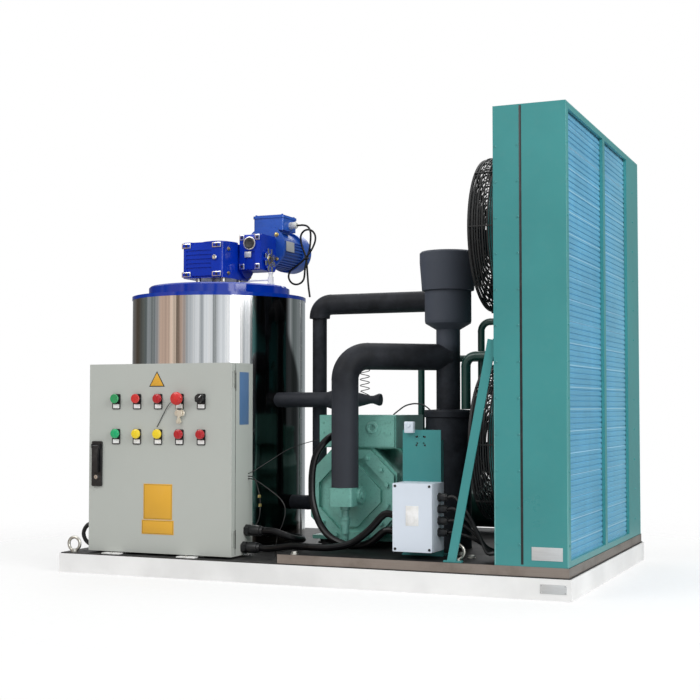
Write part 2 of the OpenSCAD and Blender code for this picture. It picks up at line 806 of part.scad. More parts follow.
module drive_motor() color(motor_blue) {
    rod_y([motor_x, input_y1, motor_z], motor_flange_r, motor_flange_t);
    rod_y([motor_x, motor_y0, motor_z], motor_r - 5, motor_l);
    rod_y([motor_x, motor_y0, motor_z], motor_r, 9);
    rod_y([motor_x, motor_y1 - 14, motor_z], motor_r + 5, 14);
    // Cooling fins round the stator, left off under the terminal box
    for (i = [1 : motor_fins - 1]) let (a = 60 + i * 240 / motor_fins)
        translate([motor_x, motor_y0 + 14, motor_z]) rotate([0, a, 0])
            translate([-1.6, 0, motor_r - 8]) cube([3.2, motor_l - 26, 9]);
    for (a = [45 : 90 : 315]) translate([motor_x, motor_y0 - 1, motor_z]) rotate([0, a, 0])
        translate([0, 0, motor_flange_r - 8]) rotate([-90, 0, 0]) cylinder(h = 9, r = 6, $fn = 6);
    // Seat under the terminal box
    box([motor_x - 40, motor_box_y + 8, motor_z + motor_r - 14],
        [motor_x + 40, motor_box_y + 96, motor_box_z]);
}

module motor_fan_cowl() color(motor_blue) difference() {
    rod_y([motor_x, motor_y1, motor_z], motor_r + 5, cowl_l);
    rod_y([motor_x, motor_y1 - 1, motor_z], motor_r + 2, cowl_l - 2);
    for (a = [0 : 30 : 330]) translate([motor_x, motor_y1 + cowl_l - 6, motor_z]) rotate([0, a, 0])
        translate([-4, 0, 22]) cube([8, 10, 30]);
    translate([motor_x, motor_y1 + cowl_l - 6, motor_z]) rotate([-90, 0, 0]) cylinder(h = 10, r = 8);
}

module motor_terminal_box() color(motor_blue) {
    low = [motor_box_x, motor_box_y, motor_box_z];
    translate(low) linear_extrude(motor_box.z - 12) round_square(motor_box.x, motor_box.y, 10);
    translate(low + [-3, -3, motor_box.z - 12]) linear_extrude(9)
        round_square(motor_box.x + 6, motor_box.y + 6, 12);
    translate(low + [6, 6, motor_box.z - 3]) linear_extrude(3)
        round_square(motor_box.x - 12, motor_box.y - 12, 8);
    for (x = [8, motor_box.x - 8], y = [8, motor_box.y - 8])
        translate(low + [x, y, motor_box.z - 3]) cylinder(h = 5, r = 4, $fn = 6);
}

module motor_lead() color(black) flex(lead_route, lead_r, 3, 8, [0, 1, 0]);

module water_inlet() color(white) {
    translate([water_x, water_y, lid_top]) {
        cylinder(h = 8, r = 14, $fn = 6);
        cylinder(h = 30, r = 10);
        translate([0, 0, 30]) cylinder(h = 12, r = 7);
        translate([0, 0, 42]) cylinder(h = 4, r = 9);
    }
    // Thin lubrication tube from the fitting to a leg near the spindle
    pipe_run([[water_x - 6, water_y, lid_top + 20], [drum_x + 123, water_y, lid_top + 20],
        [drum_x + 123, water_y, lid_top]], 3, 10);
}

// Control cabinet

// Arm on the body that holds a hinge pin inside the edge of the door
module hinge_arm(z) {
    low = z + lug_t + 0.5;
    high = z + hinge_h - lug_t - 0.5;
    box([hinge_x - 12, hinge_y - 2.5, low], [hinge_x - 5, cab_front + cabinet_t, high]);
    box([hinge_x - 12, hinge_y - 2.5, low], [hinge_x, hinge_y + 2.5, high]);
    translate([hinge_x, hinge_y, z + 0.5]) cylinder(h = hinge_h - 1, r = hinge_pin_r);
}

module cabinet_body() color(cabinet_grey) {
    lip = 16;
    difference() {
        box([cabinet_x, cab_front, cab_z], [cab_x1, cab_back, cab_top]);
        box([cabinet_x + cabinet_t, cab_front + cabinet_t, cab_z + cabinet_t],
            [cab_x1 - cabinet_t, cab_back - cabinet_t, cab_top - cabinet_t]);
        box([cabinet_x + lip, cab_front - 1, cab_z + lip], [cab_x1 - lip, cab_front + 9, cab_top - lip]);
    }
    for (z = hinge_z) hinge_arm(z);
    for (x = [67, 344]) box([cabinet_x + x, cab_front + 4, deck_z],
        [cabinet_x + x + 63, cab_back - 4, cab_z]);
}

module mounting_plate() color(zinc) {
    low = [cabinet_x + 40, plate_y - 2, cab_z + 50];
    high = [cab_x1 - 40, plate_y, cab_top - 40];
    box(low, high);
    for (x = [low.x + 20, high.x - 20], z = [low.z + 20, high.z - 20])
        rod_y([x, plate_y - 1, z], 5, cab_back - cabinet_t - plate_y + 1);
}

// Row of modular devices on a rail: body with a stepped nose
module gear_row(x, z, count, w, h, d) {
    for (i = [0 : count - 1]) {
        box([x + i * w, plate_y - 2 - d * 0.7, z], [x + (i + 1) * w - 1, plate_y - 2, z + h]);
        box([x + i * w + 2, plate_y - 2 - d, z + h * 0.28], [x + (i + 1) * w - 3, plate_y - 2, z + h * 0.72]);
    }
}

module control_gear() color([0.85, 0.85, 0.82]) {
    left = cabinet_x + 62;
    gear_row(left, cab_z + 440, 3, 54, 84, 62);
    gear_row(left + 200, cab_z + 440, 9, 19, 84, 58);
    gear_row(left, cab_z + 280, 5, 47, 82, 74);
    gear_row(left + 270, cab_z + 275, 3, 38, 92, 70);
    gear_row(left, cab_z + 90, 18, 11, 56, 42);
    gear_row(left + 230, cab_z + 90, 12, 13, 56, 46);
    // Slotted wiring ducts between the rows
    for (z = [192, 385]) difference() {
        box([left, plate_y - 42, cab_z + z], [left + 390, plate_y - 2, cab_z + z + 40]);
        for (i = [0 : 24]) box([left + 6 + i * 15.6, plate_y - 43, cab_z + z + 6],
            [left + 12 + i * 15.6, plate_y - 12, cab_z + z + 34]);
    }
}

// Places of the ten operators on the door, row by row
function operator(row, column) = [button_x0 + column * button_pitch, door_front, row_z[row]];

module cabinet_door() color(cabinet_grey) {
    difference() {
        box([cabinet_x, door_front, cab_z], [cab_x1, door_back, cab_top]);
        box([cabinet_x + cabinet_t, door_front + cabinet_t, cab_z + cabinet_t],
            [cab_x1 - cabinet_t, door_back + 1, cab_top - cabinet_t]);
        for (row = [0, 1], column = [0 : 4])
            rod_y(operator(row, column) - [0, 1, 0], neck_out + 0.1, cabinet_t + 2);
        // Slots for the hinge arms in the folded edge
        for (z = hinge_z) box([cab_x1 - cabinet_t - 1, door_front + cabinet_t + 1, z],
            [cab_x1 + 1, door_back + 1, z + hinge_h]);
        rod_y([latch_mid, door_front - 1, key_z], key_r + 1, cabinet_t + 2);
    }
    // Lugs that turn on the hinge pins
    for (z = hinge_z, k = [0, hinge_h - lug_t]) difference() {
        box([hinge_x - 9, door_front + cabinet_t - 0.5, z + k], [cab_x1 - 0.2, hinge_y + 5.5, z + k + lug_t]);
        translate([hinge_x, hinge_y, z + k - 1]) cylinder(h = lug_t + 2, r = hinge_pin_r + run_gap);
    }
}

module latch_base() color(black) {
    ear_x = [latch_mid - grip_w / 2 - move_gap - ear_t, latch_mid + grip_w / 2 + move_gap];
    difference() {
        front_plate(latch_x, door_front - latch_t, latch_z, latch_t) round_square(latch_w, latch_h, 5);
        // Finger recess behind the lever
        box([latch_mid - grip_w / 2 - 2, door_front - latch_t - 1, latch_z + 46],
            [latch_mid + grip_w / 2 + 2, door_front - 2, latch_z + latch_h - 30]);
        rod_y([latch_mid, door_front - latch_t - 1, key_z], key_r + run_gap, latch_t + 2);
    }
    for (x = ear_x) box([x, grip_y - 5, grip_z - 7], [x + ear_t, door_front - latch_t + 0.5, grip_z + 7]);
    rod_x([ear_x[0] + 1, grip_y, grip_z], grip_pin_r, grip_w + 2 * move_gap + 2 * ear_t - 2);
}

module latch_handle() color(black) difference() {
    union() {
        rod_x([latch_mid - grip_w / 2, grip_y, grip_z], 4.4, grip_w);
        translate([latch_mid - grip_w / 2, grip_y, grip_z]) rotate([90, 0, 90]) linear_extrude(grip_w)
            polygon([[-3.9, -1], [3.9, -1], [4.2, -20], [3, -grip_l], [-4.5, -grip_l],
                [-6, -grip_l + 18], [-6, -30]]);
    }
    rod_x([latch_mid - grip_w / 2 - 1, grip_y, grip_z], grip_pin_r + run_gap, grip_w + 2);
}

module key_cylinder() color(zinc) difference() {
    union() {
        rod_y([latch_mid, door_front - latch_t - 4, key_z], key_r, latch_t + 22);
        // Cam behind the door
        box([latch_mid - 5, door_front + 9, key_z - 6], [latch_mid + 30, door_front + 12, key_z + 6]);
    }
    box([latch_mid - 0.8, door_front - latch_t - 5, key_z - 4],
        [latch_mid + 0.8, door_front - latch_t, key_z + 4]);
}

// Holder clamped through the door: front ring with a legend plate, neck, and contact block behind
module bezel(p) {
    difference() {
        union() {
            rod_y(p - [0, bezel_t, 0], bezel_r, bezel_t);
            rod_y(p - [0, 1, 0], neck_out, cabinet_t + 2);
            box(p + [-12, cabinet_t, -14], p + [12, cabinet_t + block_d, 14]);
            front_plate(p.x - 15, p.y - 2.2, p.z - 34, 2.2) round_square(30, 49, 4);
        }
        translate([p.x, p.y - bezel_t - 1, p.z]) rotate([-90, 0, 0])
            cylinder(h = bore_floor - door_front + bezel_t + 1, r = button_bore);
        box(p + [-12, -3, -31], p + [12, -1.2, -18]);
    }
}

module button_bezels() color(black) {
    for (row = [0, 1], column = [0 : 4]) bezel(operator(row, column));
}

// Domed lens on a round seat
module lamp(p) {
    translate(p - [0, bezel_t, 0]) rotate([90, 0, 0]) {
        cylinder(h = 5, r = 12.6);
        translate([0, 0, 5]) rotate_extrude() intersection() {
            translate([0, -26]) circle(r = 29);
            square([12.6, 10]);
        }
    }
    rod_y(p - [0, bezel_t, 0], button_r - 0.5, bore_floor - door_front + bezel_t);
}

module indicator_lamps() {
    color(signal_green) lamp(operator(1, 0));
    color(signal_yellow) for (c = [1, 2]) lamp(operator(1, c));
    color(signal_red) {
        lamp(operator(0, 2));
        for (c = [3, 4]) lamp(operator(1, c));
    }
}

// Flush push button with a dished face
module push_button(p) {
    difference() {
        translate(p - [0, bezel_t + button_out, 0]) rotate([-90, 0, 0])
            cylinder(h = bezel_t + button_out + 16 - push_travel - 0.5, r = button_r);
        translate(p - [0, bezel_t + button_out + 38.5, 0]) sphere(r = 40);
    }
}

module start_button() color(signal_green) push_button(operator(0, 0));

module stop_button() color(signal_red) push_button(operator(0, 1));

module emergency_stop() color(signal_red) {
    p = operator(0, 3);
    front = bezel_t + 24;
    translate(p - [0, front, 0]) rotate([-90, 0, 0]) {
        rotate_extrude() polygon([[0, 0], [estop_r - 6, 0], [estop_r - 2, 2], [estop_r, 6], [estop_r, 10],
            [estop_r - 3, 14], [button_r, 15], [button_r, front + 16 - push_travel - 1.5],
            [0, front + 16 - push_travel - 1.5]]);
    }
}

module selector_knob() color(black) {
    p = operator(0, 4);
    rod_y(p - [0, bezel_t + 4, 0], button_r, bezel_t + 4 + 15);
    translate(p - [0, bezel_t + 16, 0]) rotate([-90, 45, 0]) {
        translate([0, 0, 2]) cylinder(h = 11, r = button_r + 2.5);
        translate([-5, -17, 0]) linear_extrude(12) round_square(10, 31, 4);
    }
}

// Cable gland: hexagon, dome nut and body along +X
module gland(r, l) {
    rotate([0, 90, 0]) {
        cylinder(h = l * 0.25, r = r, $fn = 6);
        cylinder(h = l, r = r * 0.78);
        translate([0, 0, l * 0.35]) cylinder(h = l * 0.5, r = r * 0.95);
    }
}

module cable_glands() color(black) {
    translate(motor_gland) gland(13, gland_l);
    for (p = [supply_gland, control_gland]) translate(p) gland(18, cabinet_gland_l);
    for (z = box_gland_z) translate([jbox_x + jbox_w, box_gland_y, z]) gland(13, gland_l);
    for (p = [feed_gland, return_gland]) translate(p) rotate(180) gland(gland_r, side_gland_l);
    translate(comp_gland) rotate(-90) gland(gland_r, side_gland_l);
    translate([drum_x, drum_y, pump_end.z]) rotate(pump_angle) translate([drum_r + 0.8, 0, 0])
        gland(gland_r, side_gland_l - 0.8);
    for (y = lead_end_y) translate([plenum_x, y, lead_end_z]) rotate(180) gland(9, 14);
}

// Compressor

module end_outline(grow) {
    translate([comp_x, cover_z0 + cover_h / 2]) cut_square(cover_w + 2 * grow, cover_h + 2 * grow, cover_cut);
}

module compressor_body() color(comp_green) {
    // Motor housing behind the end cover, then the crankcase and the cylinder heads
    front_plate(0, cover_back, 0, crank_y - cover_back) end_outline(-10);
    front_plate(0, crank_y - 14, 0, 26) end_outline(-2);
    front_plate(0, crank_y, 0, comp_back - crank_y) translate([comp_x, cover_z0 + 130])
        cut_square(cover_w - 46, 256, 44);
    translate([comp_x, comp_back, cover_z0 + 125]) rotate([-90, 0, 0]) cylinder(h = 22, r = 96);
    for (y = [crank_y + 48, crank_y + 164]) {
        box([comp_x - 86, y, cover_top - 60], [comp_x + 86, y + 100, head_z - 18]);
        translate([comp_x - 94, y - 5, head_z - 18]) linear_extrude(18) round_square(188, 110, 12);
    }
    // Ribs along the motor housing
    for (z = [-50, 0, 50]) box([comp_left + 2, cover_back + 20, cover_z0 + cover_h / 2 + z - 6],
        [comp_right - 2, crank_y - 20, cover_z0 + cover_h / 2 + z + 6]);
    // Foot plates under the housing
    for (y = [rubber_places[0].y, rubber_places[1].y]) {
        box([comp_x - 178, y - 34, comp_z0], [comp_x + 178, y + 34, comp_z0 + foot_t]);
        box([comp_x - 90, y - 22, comp_z0 + foot_t - 1], [comp_x + 90, y + 22, cover_z0 + 60]);
    }
    // Discharge valve on the cylinder side
    box([comp_x + 60, crank_y + 30, cover_top - 60], [gas_x + 20, crank_y + 80, cover_top - 4]);
    box([gas_x - 22, gas_y - 14, cover_top - 60], [gas_x + 20, crank_y + 80, cover_top + 14]);
}

module compressor_end_cover() color(comp_green) {
    front_plate(0, comp_front + 14, 0, cover_t - 14) end_outline(0);
    front_plate(0, comp_front, 0, 15) difference() {
        end_outline(-6);
        end_outline(-34);
    }
    front_plate(0, comp_front + 4, 0, 11) end_outline(-52);
    for (a = [22.5 : 45 : 337.5]) let (q = [comp_x + 122 * cos(a), cover_z0 + cover_h / 2 + 124 * sin(a)])
        bolt_y([q.x, comp_front + 4, q.y], 9, 14);
    // Boss behind the suction valve
    rod_y([valve_x, comp_front - 8, valve_z + valve_h / 2], 34, 20);
}

module compressor_terminal_box() color(comp_green) {
    box([term_x, term_y + 6, cover_top], [comp_right, term_y + term_d, cover_top + term_h]);
    // Cover with a raised rim, a round field and two catches
    box([term_x + 4, term_y, cover_top + 4], [comp_right - 4, term_y + 8, cover_top + term_h - 4]);
    rod_y([comp_right - 72, term_y - 2, cover_top + term_h / 2 + 8], 24, 6);
    rod_y([comp_right - 72, term_y - 4, cover_top + term_h / 2 + 8], 14, 6);
    for (z = [term_h / 2 - 10, term_h / 2 + 26]) box([comp_right - 34, term_y - 2, cover_top + z],
        [comp_right - 16, term_y + 4, cover_top + z + 7]);
}

module compressor_feet() color(black) {
    for (p = rubber_places) translate([p.x, p.y, tray_z]) rotate_extrude()
        polygon([[0, 0], [30, 0], [30, 4], [22, rubber_h / 2], [26, rubber_h], [0, rubber_h]]);
}

module suction_valve() color(comp_green) difference() {
    union() {
        translate([valve_x - valve_half, valve_y - valve_half, valve_z]) linear_extrude(valve_h)
            round_square(2 * valve_half, comp_front - 8 - valve_y + valve_half, 12);
        // Bolted flange at the side, spindle stem with its gland nut below
        rod_x([valve_x + valve_half - 1, valve_y + 14, valve_z + valve_h / 2 + 4], 24, 12);
        rod_x([valve_x + valve_half + 10, valve_y + 14, valve_z + valve_h / 2 + 4], 11, 6);
        translate([valve_x - 3, valve_y + 8, valve_z - 40]) cylinder(h = 41, r = 11);
        translate([valve_x - 3, valve_y + 8, valve_z - 58]) cylinder(h = 22, r = 16);
        translate([valve_x - 3, valve_y + 8, valve_z - 108]) cylinder(h = 52, r = 12);
        translate([valve_x - 3, valve_y + 8, valve_z - 12]) cylinder(h = 14, r = 18, $fn = 6);
    }
    translate([valve_x, valve_y, valve_z + valve_h - 14]) cylinder(h = 20, r = 24);
}

// Refrigerant lines

module suction_line() color(foam_black) difference() {
    union() {
        pipe_run([[valve_x, valve_y, valve_z + valve_h], [valve_x, valve_y, suction_z],
            [sep_x, sep_y, suction_z]], suction_r, suction_bend);
        translate([valve_x, valve_y, valve_z + valve_h - 14]) cylinder(h = 15, r = 23.8);
    }
    translate([sep_x, sep_y, suction_z - 100]) cylinder(h = 200, r = neck_r + sleeve_gap);
}

module suction_separator() color(foam_black) translate([sep_x, sep_y, 0]) rotate_extrude()
    polygon([[0, tray_z], [vessel_r, tray_z], [vessel_r, sep_shoulder - 24],
        [vessel_r + 5, sep_shoulder - 22],
        [vessel_r + 5, sep_shoulder - 6], [vessel_r + 3, sep_shoulder], [neck_r, sep_shoulder + 2],
        [neck_r, cone_z], [cup_r - 2, cup_z - 8], [cup_r, cup_z], [cup_r, cap_z - 3], [cup_r - 2, cap_z - 2],
        [cap_r - 7, cap_z], [cap_r, cap_top - 34], [cap_r, cap_top - 5], [cap_r - 5, cap_top],
        [0, cap_top + 3]]);

module evaporator_pipe() color(foam_black) {
    out = unit([riser.x - drum_x, riser.y - drum_y, 0]);
    low_z = deck_z + 150;
    start = [drum_x, drum_y, low_z] + out * (drum_r + 0.8);
    difference() {
        union() {
            pipe_run([start, [riser.x, riser.y, low_z], [riser.x, riser.y, return_z - 40]], riser_r, 44);
            pipe_run([[riser.x, riser.y, return_z - 46], [riser.x, riser.y, return_z],
                [sep_x, riser.y, return_z]], return_r, 40);
        }
        translate([sep_x, sep_y, cup_z - 20]) cylinder(h = 130, r = cup_r + sleeve_gap);
        translate([sep_x, sep_y, cap_z - 2.6]) cylinder(h = 40, r = cap_r + sleeve_gap);
        translate([sep_x, riser.y - 60, cup_z - 30]) cube([120, 120, 140]);
    }
}

module expansion_valve() color(foam_black) {
    start = drum_x + sqrt(drum_r * drum_r - (inlet_y - drum_y - inlet_r) * (inlet_y - drum_y - inlet_r)) - 6;
    difference() {
        translate([0, inlet_y, inlet_z]) rotate([0, 90, 0]) rotate_extrude()
            polygon([[0, start], [inlet_r, start], [inlet_r, inlet_end - 190], [inlet_r + 6, inlet_end - 170],
                [inlet_r + 6, inlet_end - 110], [13, inlet_end - 36], [13, inlet_end - 26],
                [20, inlet_end - 6],
                [19, inlet_end], [0, inlet_end]]);
        at_drum(inlet_z - 60) cylinder(h = 120, r = drum_r + 0.8);
    }
}

module discharge_pipes() color(pipe_green) {
    // Hot gas from the compressor to the condenser
    pipe_run([[gas_x, gas_y, cover_top + 14], [gas_x, gas_y, gas_z], [plenum_x, gas_y, gas_z]], gas_r, 34);
    // Oil and gas line from the condenser's side into the separator's vessel
    pipe_run([[plenum_x, oil_y, gas_z + 3], [oil_x, oil_y, gas_z + 3],
        [oil_x, oil_y, sep_shoulder + 2]], oil_r, 32);
    // Liquid from the condenser down to the receiver
    pipe_run([[plenum_x, liquid_y, liquid_z], [liquid_x, liquid_y, liquid_z],
        [liquid_x, liquid_y, liquid_low],
        [liquid_x, receiver_y, liquid_low], [liquid_x, receiver_y, receiver_z + receiver_r + 24]], gas_r, 30);
    // Liquid from the receiver's end to the drum's inlet
    pipe_run([[receiver_x - 16, receiver_y, receiver_z], [-150, receiver_y, receiver_z],
        [-150, 220, receiver_z], [-150, 220, inlet_z], [-20, 60, inlet_z],
        [-20, inlet_y + inlet_r + 6.3, inlet_z]], gas_r - 3, 30);
}

module liquid_receiver() color(teal) {
    end = receiver_x + receiver_l;
    translate([0, receiver_y, receiver_z]) rotate([0, 90, 0]) rotate_extrude()
        polygon([[0, receiver_x], [receiver_r * 0.62, receiver_x + 8], [receiver_r * 0.9, receiver_x + 26],
            [receiver_r, receiver_x + 50], [receiver_r, end - 50], [receiver_r * 0.9, end - 26],
            [receiver_r * 0.62, end - 8], [0, end]]);
    // Saddles, inlet and outlet stubs
    for (x = [receiver_x + 90, end - 120])
        box([x, receiver_y - 62, tray_z], [x + 30, receiver_y + 62, receiver_z - 50]);
    translate([liquid_x, receiver_y, receiver_z + receiver_r - 30]) cylinder(h = 54, r = gas_r + 4);
    rod_x([receiver_x - 16, receiver_y, receiver_z], gas_r + 2, 40);
}

// Junction box

module junction_post() color(teal) {
    difference() {
        union() {
            box([post_x, post_y, tray_z], [post_x + post_w, post_y + post_t, tray_z + post_h]);
            for (x = [post_x, post_x + post_w - post_t])
                box([x, post_y, tray_z], [x + post_t, post_y + 26, tray_z + post_h - 30]);
            box([post_x - 4, post_y, tray_z], [post_x + post_w + 4, post_y + 60, tray_z + post_t]);
        }
        for (x = [-10, 10], z = [20, 40])
            rod_y([post_x + 57 + x, post_y - 1, tray_z + post_h - z], 3, post_t + 2);
    }
}

module junction_box() color(white) {
    translate([jbox_x, jbox_front + 14, jbox_z]) cube([jbox_w, jbox_d - 14, jbox_h]);
    front_plate(jbox_x, jbox_front, jbox_z, 13.2) round_square(jbox_w, jbox_h, 3);
    front_plate(jbox_x + 3, jbox_front + 13, jbox_z + 3, 2) square([jbox_w - 6, jbox_h - 6]);
}

module power_conduits() color(black) {
    flex(feed_route, conduit_r, 4, 12, [0, 1, 0]);
    flex(return_route, conduit_r, 4, 12, [0, 0, 1]);
    flex(pump_route, conduit_r, 4, 12, [0, 0, 1]);
}

module junction_leads() color(black) {
    for (i = [0 : 3]) let (a = [jbox_x + jbox_w + gland_l, box_gland_y, box_gland_z[i]],
        b = [plenum_x - 14, lead_end_y[i], lead_end_z])
        flex([a + [end_gap, 0, 0], a + [24, 0, 0],
            [a.x * 0.55 + b.x * 0.45, a.y * 0.6 + b.y * 0.4, a.z * 0.7 + b.z * 0.3],
            [a.x * 0.3 + b.x * 0.7, a.y * 0.35 + b.y * 0.65, a.z * 0.25 + b.z * 0.75], b - [24, 0, 0],
            b - [end_gap, 0, 0]],
            box_lead_r, 3, 8, [0, 1, 0]);
}

// Condenser

module condenser_coil() color(fin_blue) {
    x0 = coil_x1 - coil_d;
    z0 = cond_z + cond_t;
    h = cond_h - 2 * cond_t;
    rows = floor((h - 20) / fin_pitch);
    // Tube rows show as fine ridges on the face
    translate([0, cond_side - cond_t, 0]) rotate([90, 0, 0]) linear_extrude(2 * (cond_side - cond_t))
        polygon(concat([[x0, z0 + h], [x0, z0]], [for (i = [0 : rows - 1], k = [0 : 3])
            let (z = z0 + 10 + i * fin_pitch) k == 0 ? [coil_x1 - 3, z] : k == 1 ? [coil_x1, z + 2]
                : k == 2 ? [coil_x1, z + fin_pitch - 4] : [coil_x1 - 3, z + fin_pitch - 2]],
            [[coil_x1 - 3, z0 + h]]));
}

// Places of the windows in front of the coil, from the middle outwards
windows = [[-cond_side + stile_w, mullion_y], [mullion_y + mullion_w, cond_side - rear_stile]];

module coil_case() color(teal) {
    difference() {
        box([case_x0, -cond_side, cond_z], [case_x1, cond_side, cond_top]);
        box([case_x0 - 1, -cond_side + cond_t, cond_z + cond_t],
            [case_x1 - cond_t, cond_side - cond_t, cond_top - cond_t]);
        for (w = windows) box([case_x1 - 8, w[0], cond_z + rail_w], [case_x1 + 1, w[1], cond_top - rail_w]);
    }
    // Folded returns round the windows, down to the coil
    for (w = windows) difference() {
        box([coil_x1 + 0.3, w[0] - cond_t, cond_z + rail_w - cond_t],
            [case_x1 - 0.5, w[1] + cond_t, cond_top - rail_w + cond_t]);
        box([coil_x1 - 1, w[0], cond_z + rail_w], [case_x1 + 1, w[1], cond_top - rail_w]);
    }
}

fan_places = [for (z = [1, -1], y = [-1, 1]) [y * fan_dx / 2, cond_mid + z * fan_dz / 2]];

module fan_plenum() color(teal) {
    difference() {
        box([plenum_x, -cond_side, cond_z], [case_x0, cond_side, cond_top]);
        box([plenum_x + cond_t, -cond_side + cond_t, cond_z + cond_t],
            [case_x0 + 1, cond_side - cond_t, cond_top - cond_t]);
        for (p = fan_places) rod_x([plenum_x - 1, p.x, p.y], throat_r, cond_t + 2);
    }
    // Round throats pressed out towards the fans
    for (p = fan_places) translate([plenum_x - throat_l + 1, p.x, p.y]) rotate([0, 90, 0])
        ring(throat_r, throat_r + throat_t, throat_l);
}

// Wire basket over one fan, with the plate and stub axle that carry the fan
module fan_guard() {
    rotate([0, 90, 0]) {
        for (r = [hub_plate_r + 18 : 17 : guard_r - 6]) ring(r, r + wire, wire);
        for (x = [14 : 15 : guard_out - wire]) translate([0, 0, x]) ring(guard_r - wire, guard_r, wire);
        ring(guard_r - 8, guard_r - 8 + wire, wire + 3);
        translate([0, 0, wire]) cylinder(h = hub_plate_t, r = hub_plate_r);
        translate([0, 0, wire]) cylinder(h = hub_plate_t + 28, r = axle_r);
        for (a = [0 : 45 : 315]) rotate(a) {
            translate([hub_plate_r - 6, -wire / 2, wire - 1]) cube([guard_r - hub_plate_r + 5, wire, wire]);
            translate([guard_r - wire, -wire / 2, wire - 1]) cube([wire + 1, wire, guard_out - wire + 1]);
        }
        for (a = [45 : 90 : 315]) rotate(a)
            translate([guard_r - 14, -12, guard_out - 3]) cube([36, 24, 3]);
    }
}

module fan_guards() color(black) {
    for (p = fan_places) translate([guard_x, p.x, p.y]) fan_guard();
}

// Axial fan: outer rotor hub with a bore and pitched sickle blades
module fan(place) color(black) {
    translate([fan_x, place.x, place.y]) rotate([0, 90, 0]) difference() {
        union() {
            cylinder(h = fan_hub_l, r = fan_hub_r);
            translate([0, 0, fan_hub_l]) cylinder(h = 8, r = fan_hub_r - 10);
            for (i = [0 : fan_blades - 1]) rotate(i * 360 / fan_blades) translate([0, 0, fan_hub_l / 2 + 4])
                rotate([24, 0, 0]) translate([0, 0, -1.5]) linear_extrude(3)
                    polygon([[fan_hub_r - 8, -28], [fan_r * 0.55, -44], [fan_r * 0.82, -60],
                        [fan_r - 14, -62], [fan_r - 7, -40], [fan_r - 4, -8], [fan_r - 8, 24],
                        [fan_r - 30, 44], [fan_r * 0.6, 34],
                        [fan_hub_r - 8, 26]]);
        }
        translate([0, 0, -1]) cylinder(h = 30, r = axle_r + run_gap);
    }
}

module fan_upper_front() fan(fan_places[0]);

module fan_upper_rear() fan(fan_places[1]);

module fan_lower_front() fan(fan_places[2]);

module fan_lower_rear() fan(fan_places[3]);

module condenser_brace() color(teal) {
    y = -cond_side + 8;
    foot = [plenum_x - 131, tray_z];
    top = [plenum_x - 9, cond_z + 624];
    way = unit(top - foot);
    length = norm(top - foot);
    // Flat bar bolted to the tray and to the plenum's edge
    difference() {
        translate([foot.x, y, foot.y]) rotate([0, -atan2(way.y, way.x), 0])
            translate([-30, 0, -brace_w / 2]) cube([length + 40, 5, brace_w]);
        box([foot.x - 100, y - 1, tray_z - 60], [foot.x + 100, y + 6, tray_z]);
        box([plenum_x, y - 1, tray_z], [plenum_x + 60, y + 6, cond_top]);
    }
    box([foot.x - 24, y, tray_z], [foot.x + 30, y + 18, tray_z + 5]);
    box([plenum_x - 5, y, top.y - 40], [plenum_x, y + 26, top.y + 12]);
}

skid_frame();
deck_plate();
unit_tray();
lifting_eyes();
drum_shell();
drum_insulation();
evaporator_cylinder();
drum_top_flange();
drum_lid();
bottom_spider();
spindle();
ice_blade();
water_tray();
squeegee();
gearbox_pedestal();
main_gearbox();
input_gearbox();
drive_motor();
motor_fan_cowl();
motor_terminal_box();
motor_lead();
water_inlet();
cabinet_body();
mounting_plate();
control_gear();
cabinet_door();
latch_base();
latch_handle();
key_cylinder();
button_bezels();
indicator_lamps();
start_button();
stop_button();
emergency_stop();
selector_knob();
cable_glands();
compressor_body();
compressor_end_cover();
compressor_terminal_box();
compressor_feet();
suction_valve();
suction_line();
suction_separator();
evaporator_pipe();
expansion_valve();
discharge_pipes();
liquid_receiver();
junction_post();
junction_box();
power_conduits();
junction_leads();
condenser_coil();
coil_case();
fan_plenum();
fan_guards();
fan_upper_front();
fan_lower_front();
fan_upper_rear();
fan_lower_rear();
condenser_brace();
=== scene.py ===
"""Flake ice machine: looks, small fittings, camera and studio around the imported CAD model."""

import json
import logging
import math
from dataclasses import dataclass
from enum import Enum
from typing import Any, ClassVar, Iterable, Sequence, Union

import bmesh
import bpy
from mathutils import Matrix, Vector

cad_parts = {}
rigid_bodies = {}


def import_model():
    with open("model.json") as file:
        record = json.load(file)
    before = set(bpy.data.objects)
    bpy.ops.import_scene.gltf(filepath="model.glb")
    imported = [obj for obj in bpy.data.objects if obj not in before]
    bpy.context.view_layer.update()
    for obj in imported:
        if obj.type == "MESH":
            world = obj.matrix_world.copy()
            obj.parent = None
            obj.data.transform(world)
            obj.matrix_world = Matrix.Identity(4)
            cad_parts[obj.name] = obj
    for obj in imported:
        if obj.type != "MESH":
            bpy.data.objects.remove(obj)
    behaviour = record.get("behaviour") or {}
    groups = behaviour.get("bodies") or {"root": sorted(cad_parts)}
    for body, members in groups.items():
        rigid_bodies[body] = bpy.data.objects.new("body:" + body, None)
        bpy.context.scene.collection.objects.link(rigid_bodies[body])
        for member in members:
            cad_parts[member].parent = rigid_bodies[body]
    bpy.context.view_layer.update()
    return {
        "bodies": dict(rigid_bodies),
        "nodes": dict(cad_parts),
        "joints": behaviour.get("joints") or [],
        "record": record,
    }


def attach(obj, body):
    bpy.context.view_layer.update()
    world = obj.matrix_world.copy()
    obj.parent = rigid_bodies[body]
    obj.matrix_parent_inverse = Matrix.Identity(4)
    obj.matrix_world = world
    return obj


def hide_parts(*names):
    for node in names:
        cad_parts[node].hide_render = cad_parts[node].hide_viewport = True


LOG = logging.getLogger("ice_machine")
MM = 0.001
MACHINE = "machine"
SHARP_EDGE = math.radians(32.0)

Pair = tuple[float, float]
Triple = tuple[float, float, float]
Route = tuple[Triple, ...]


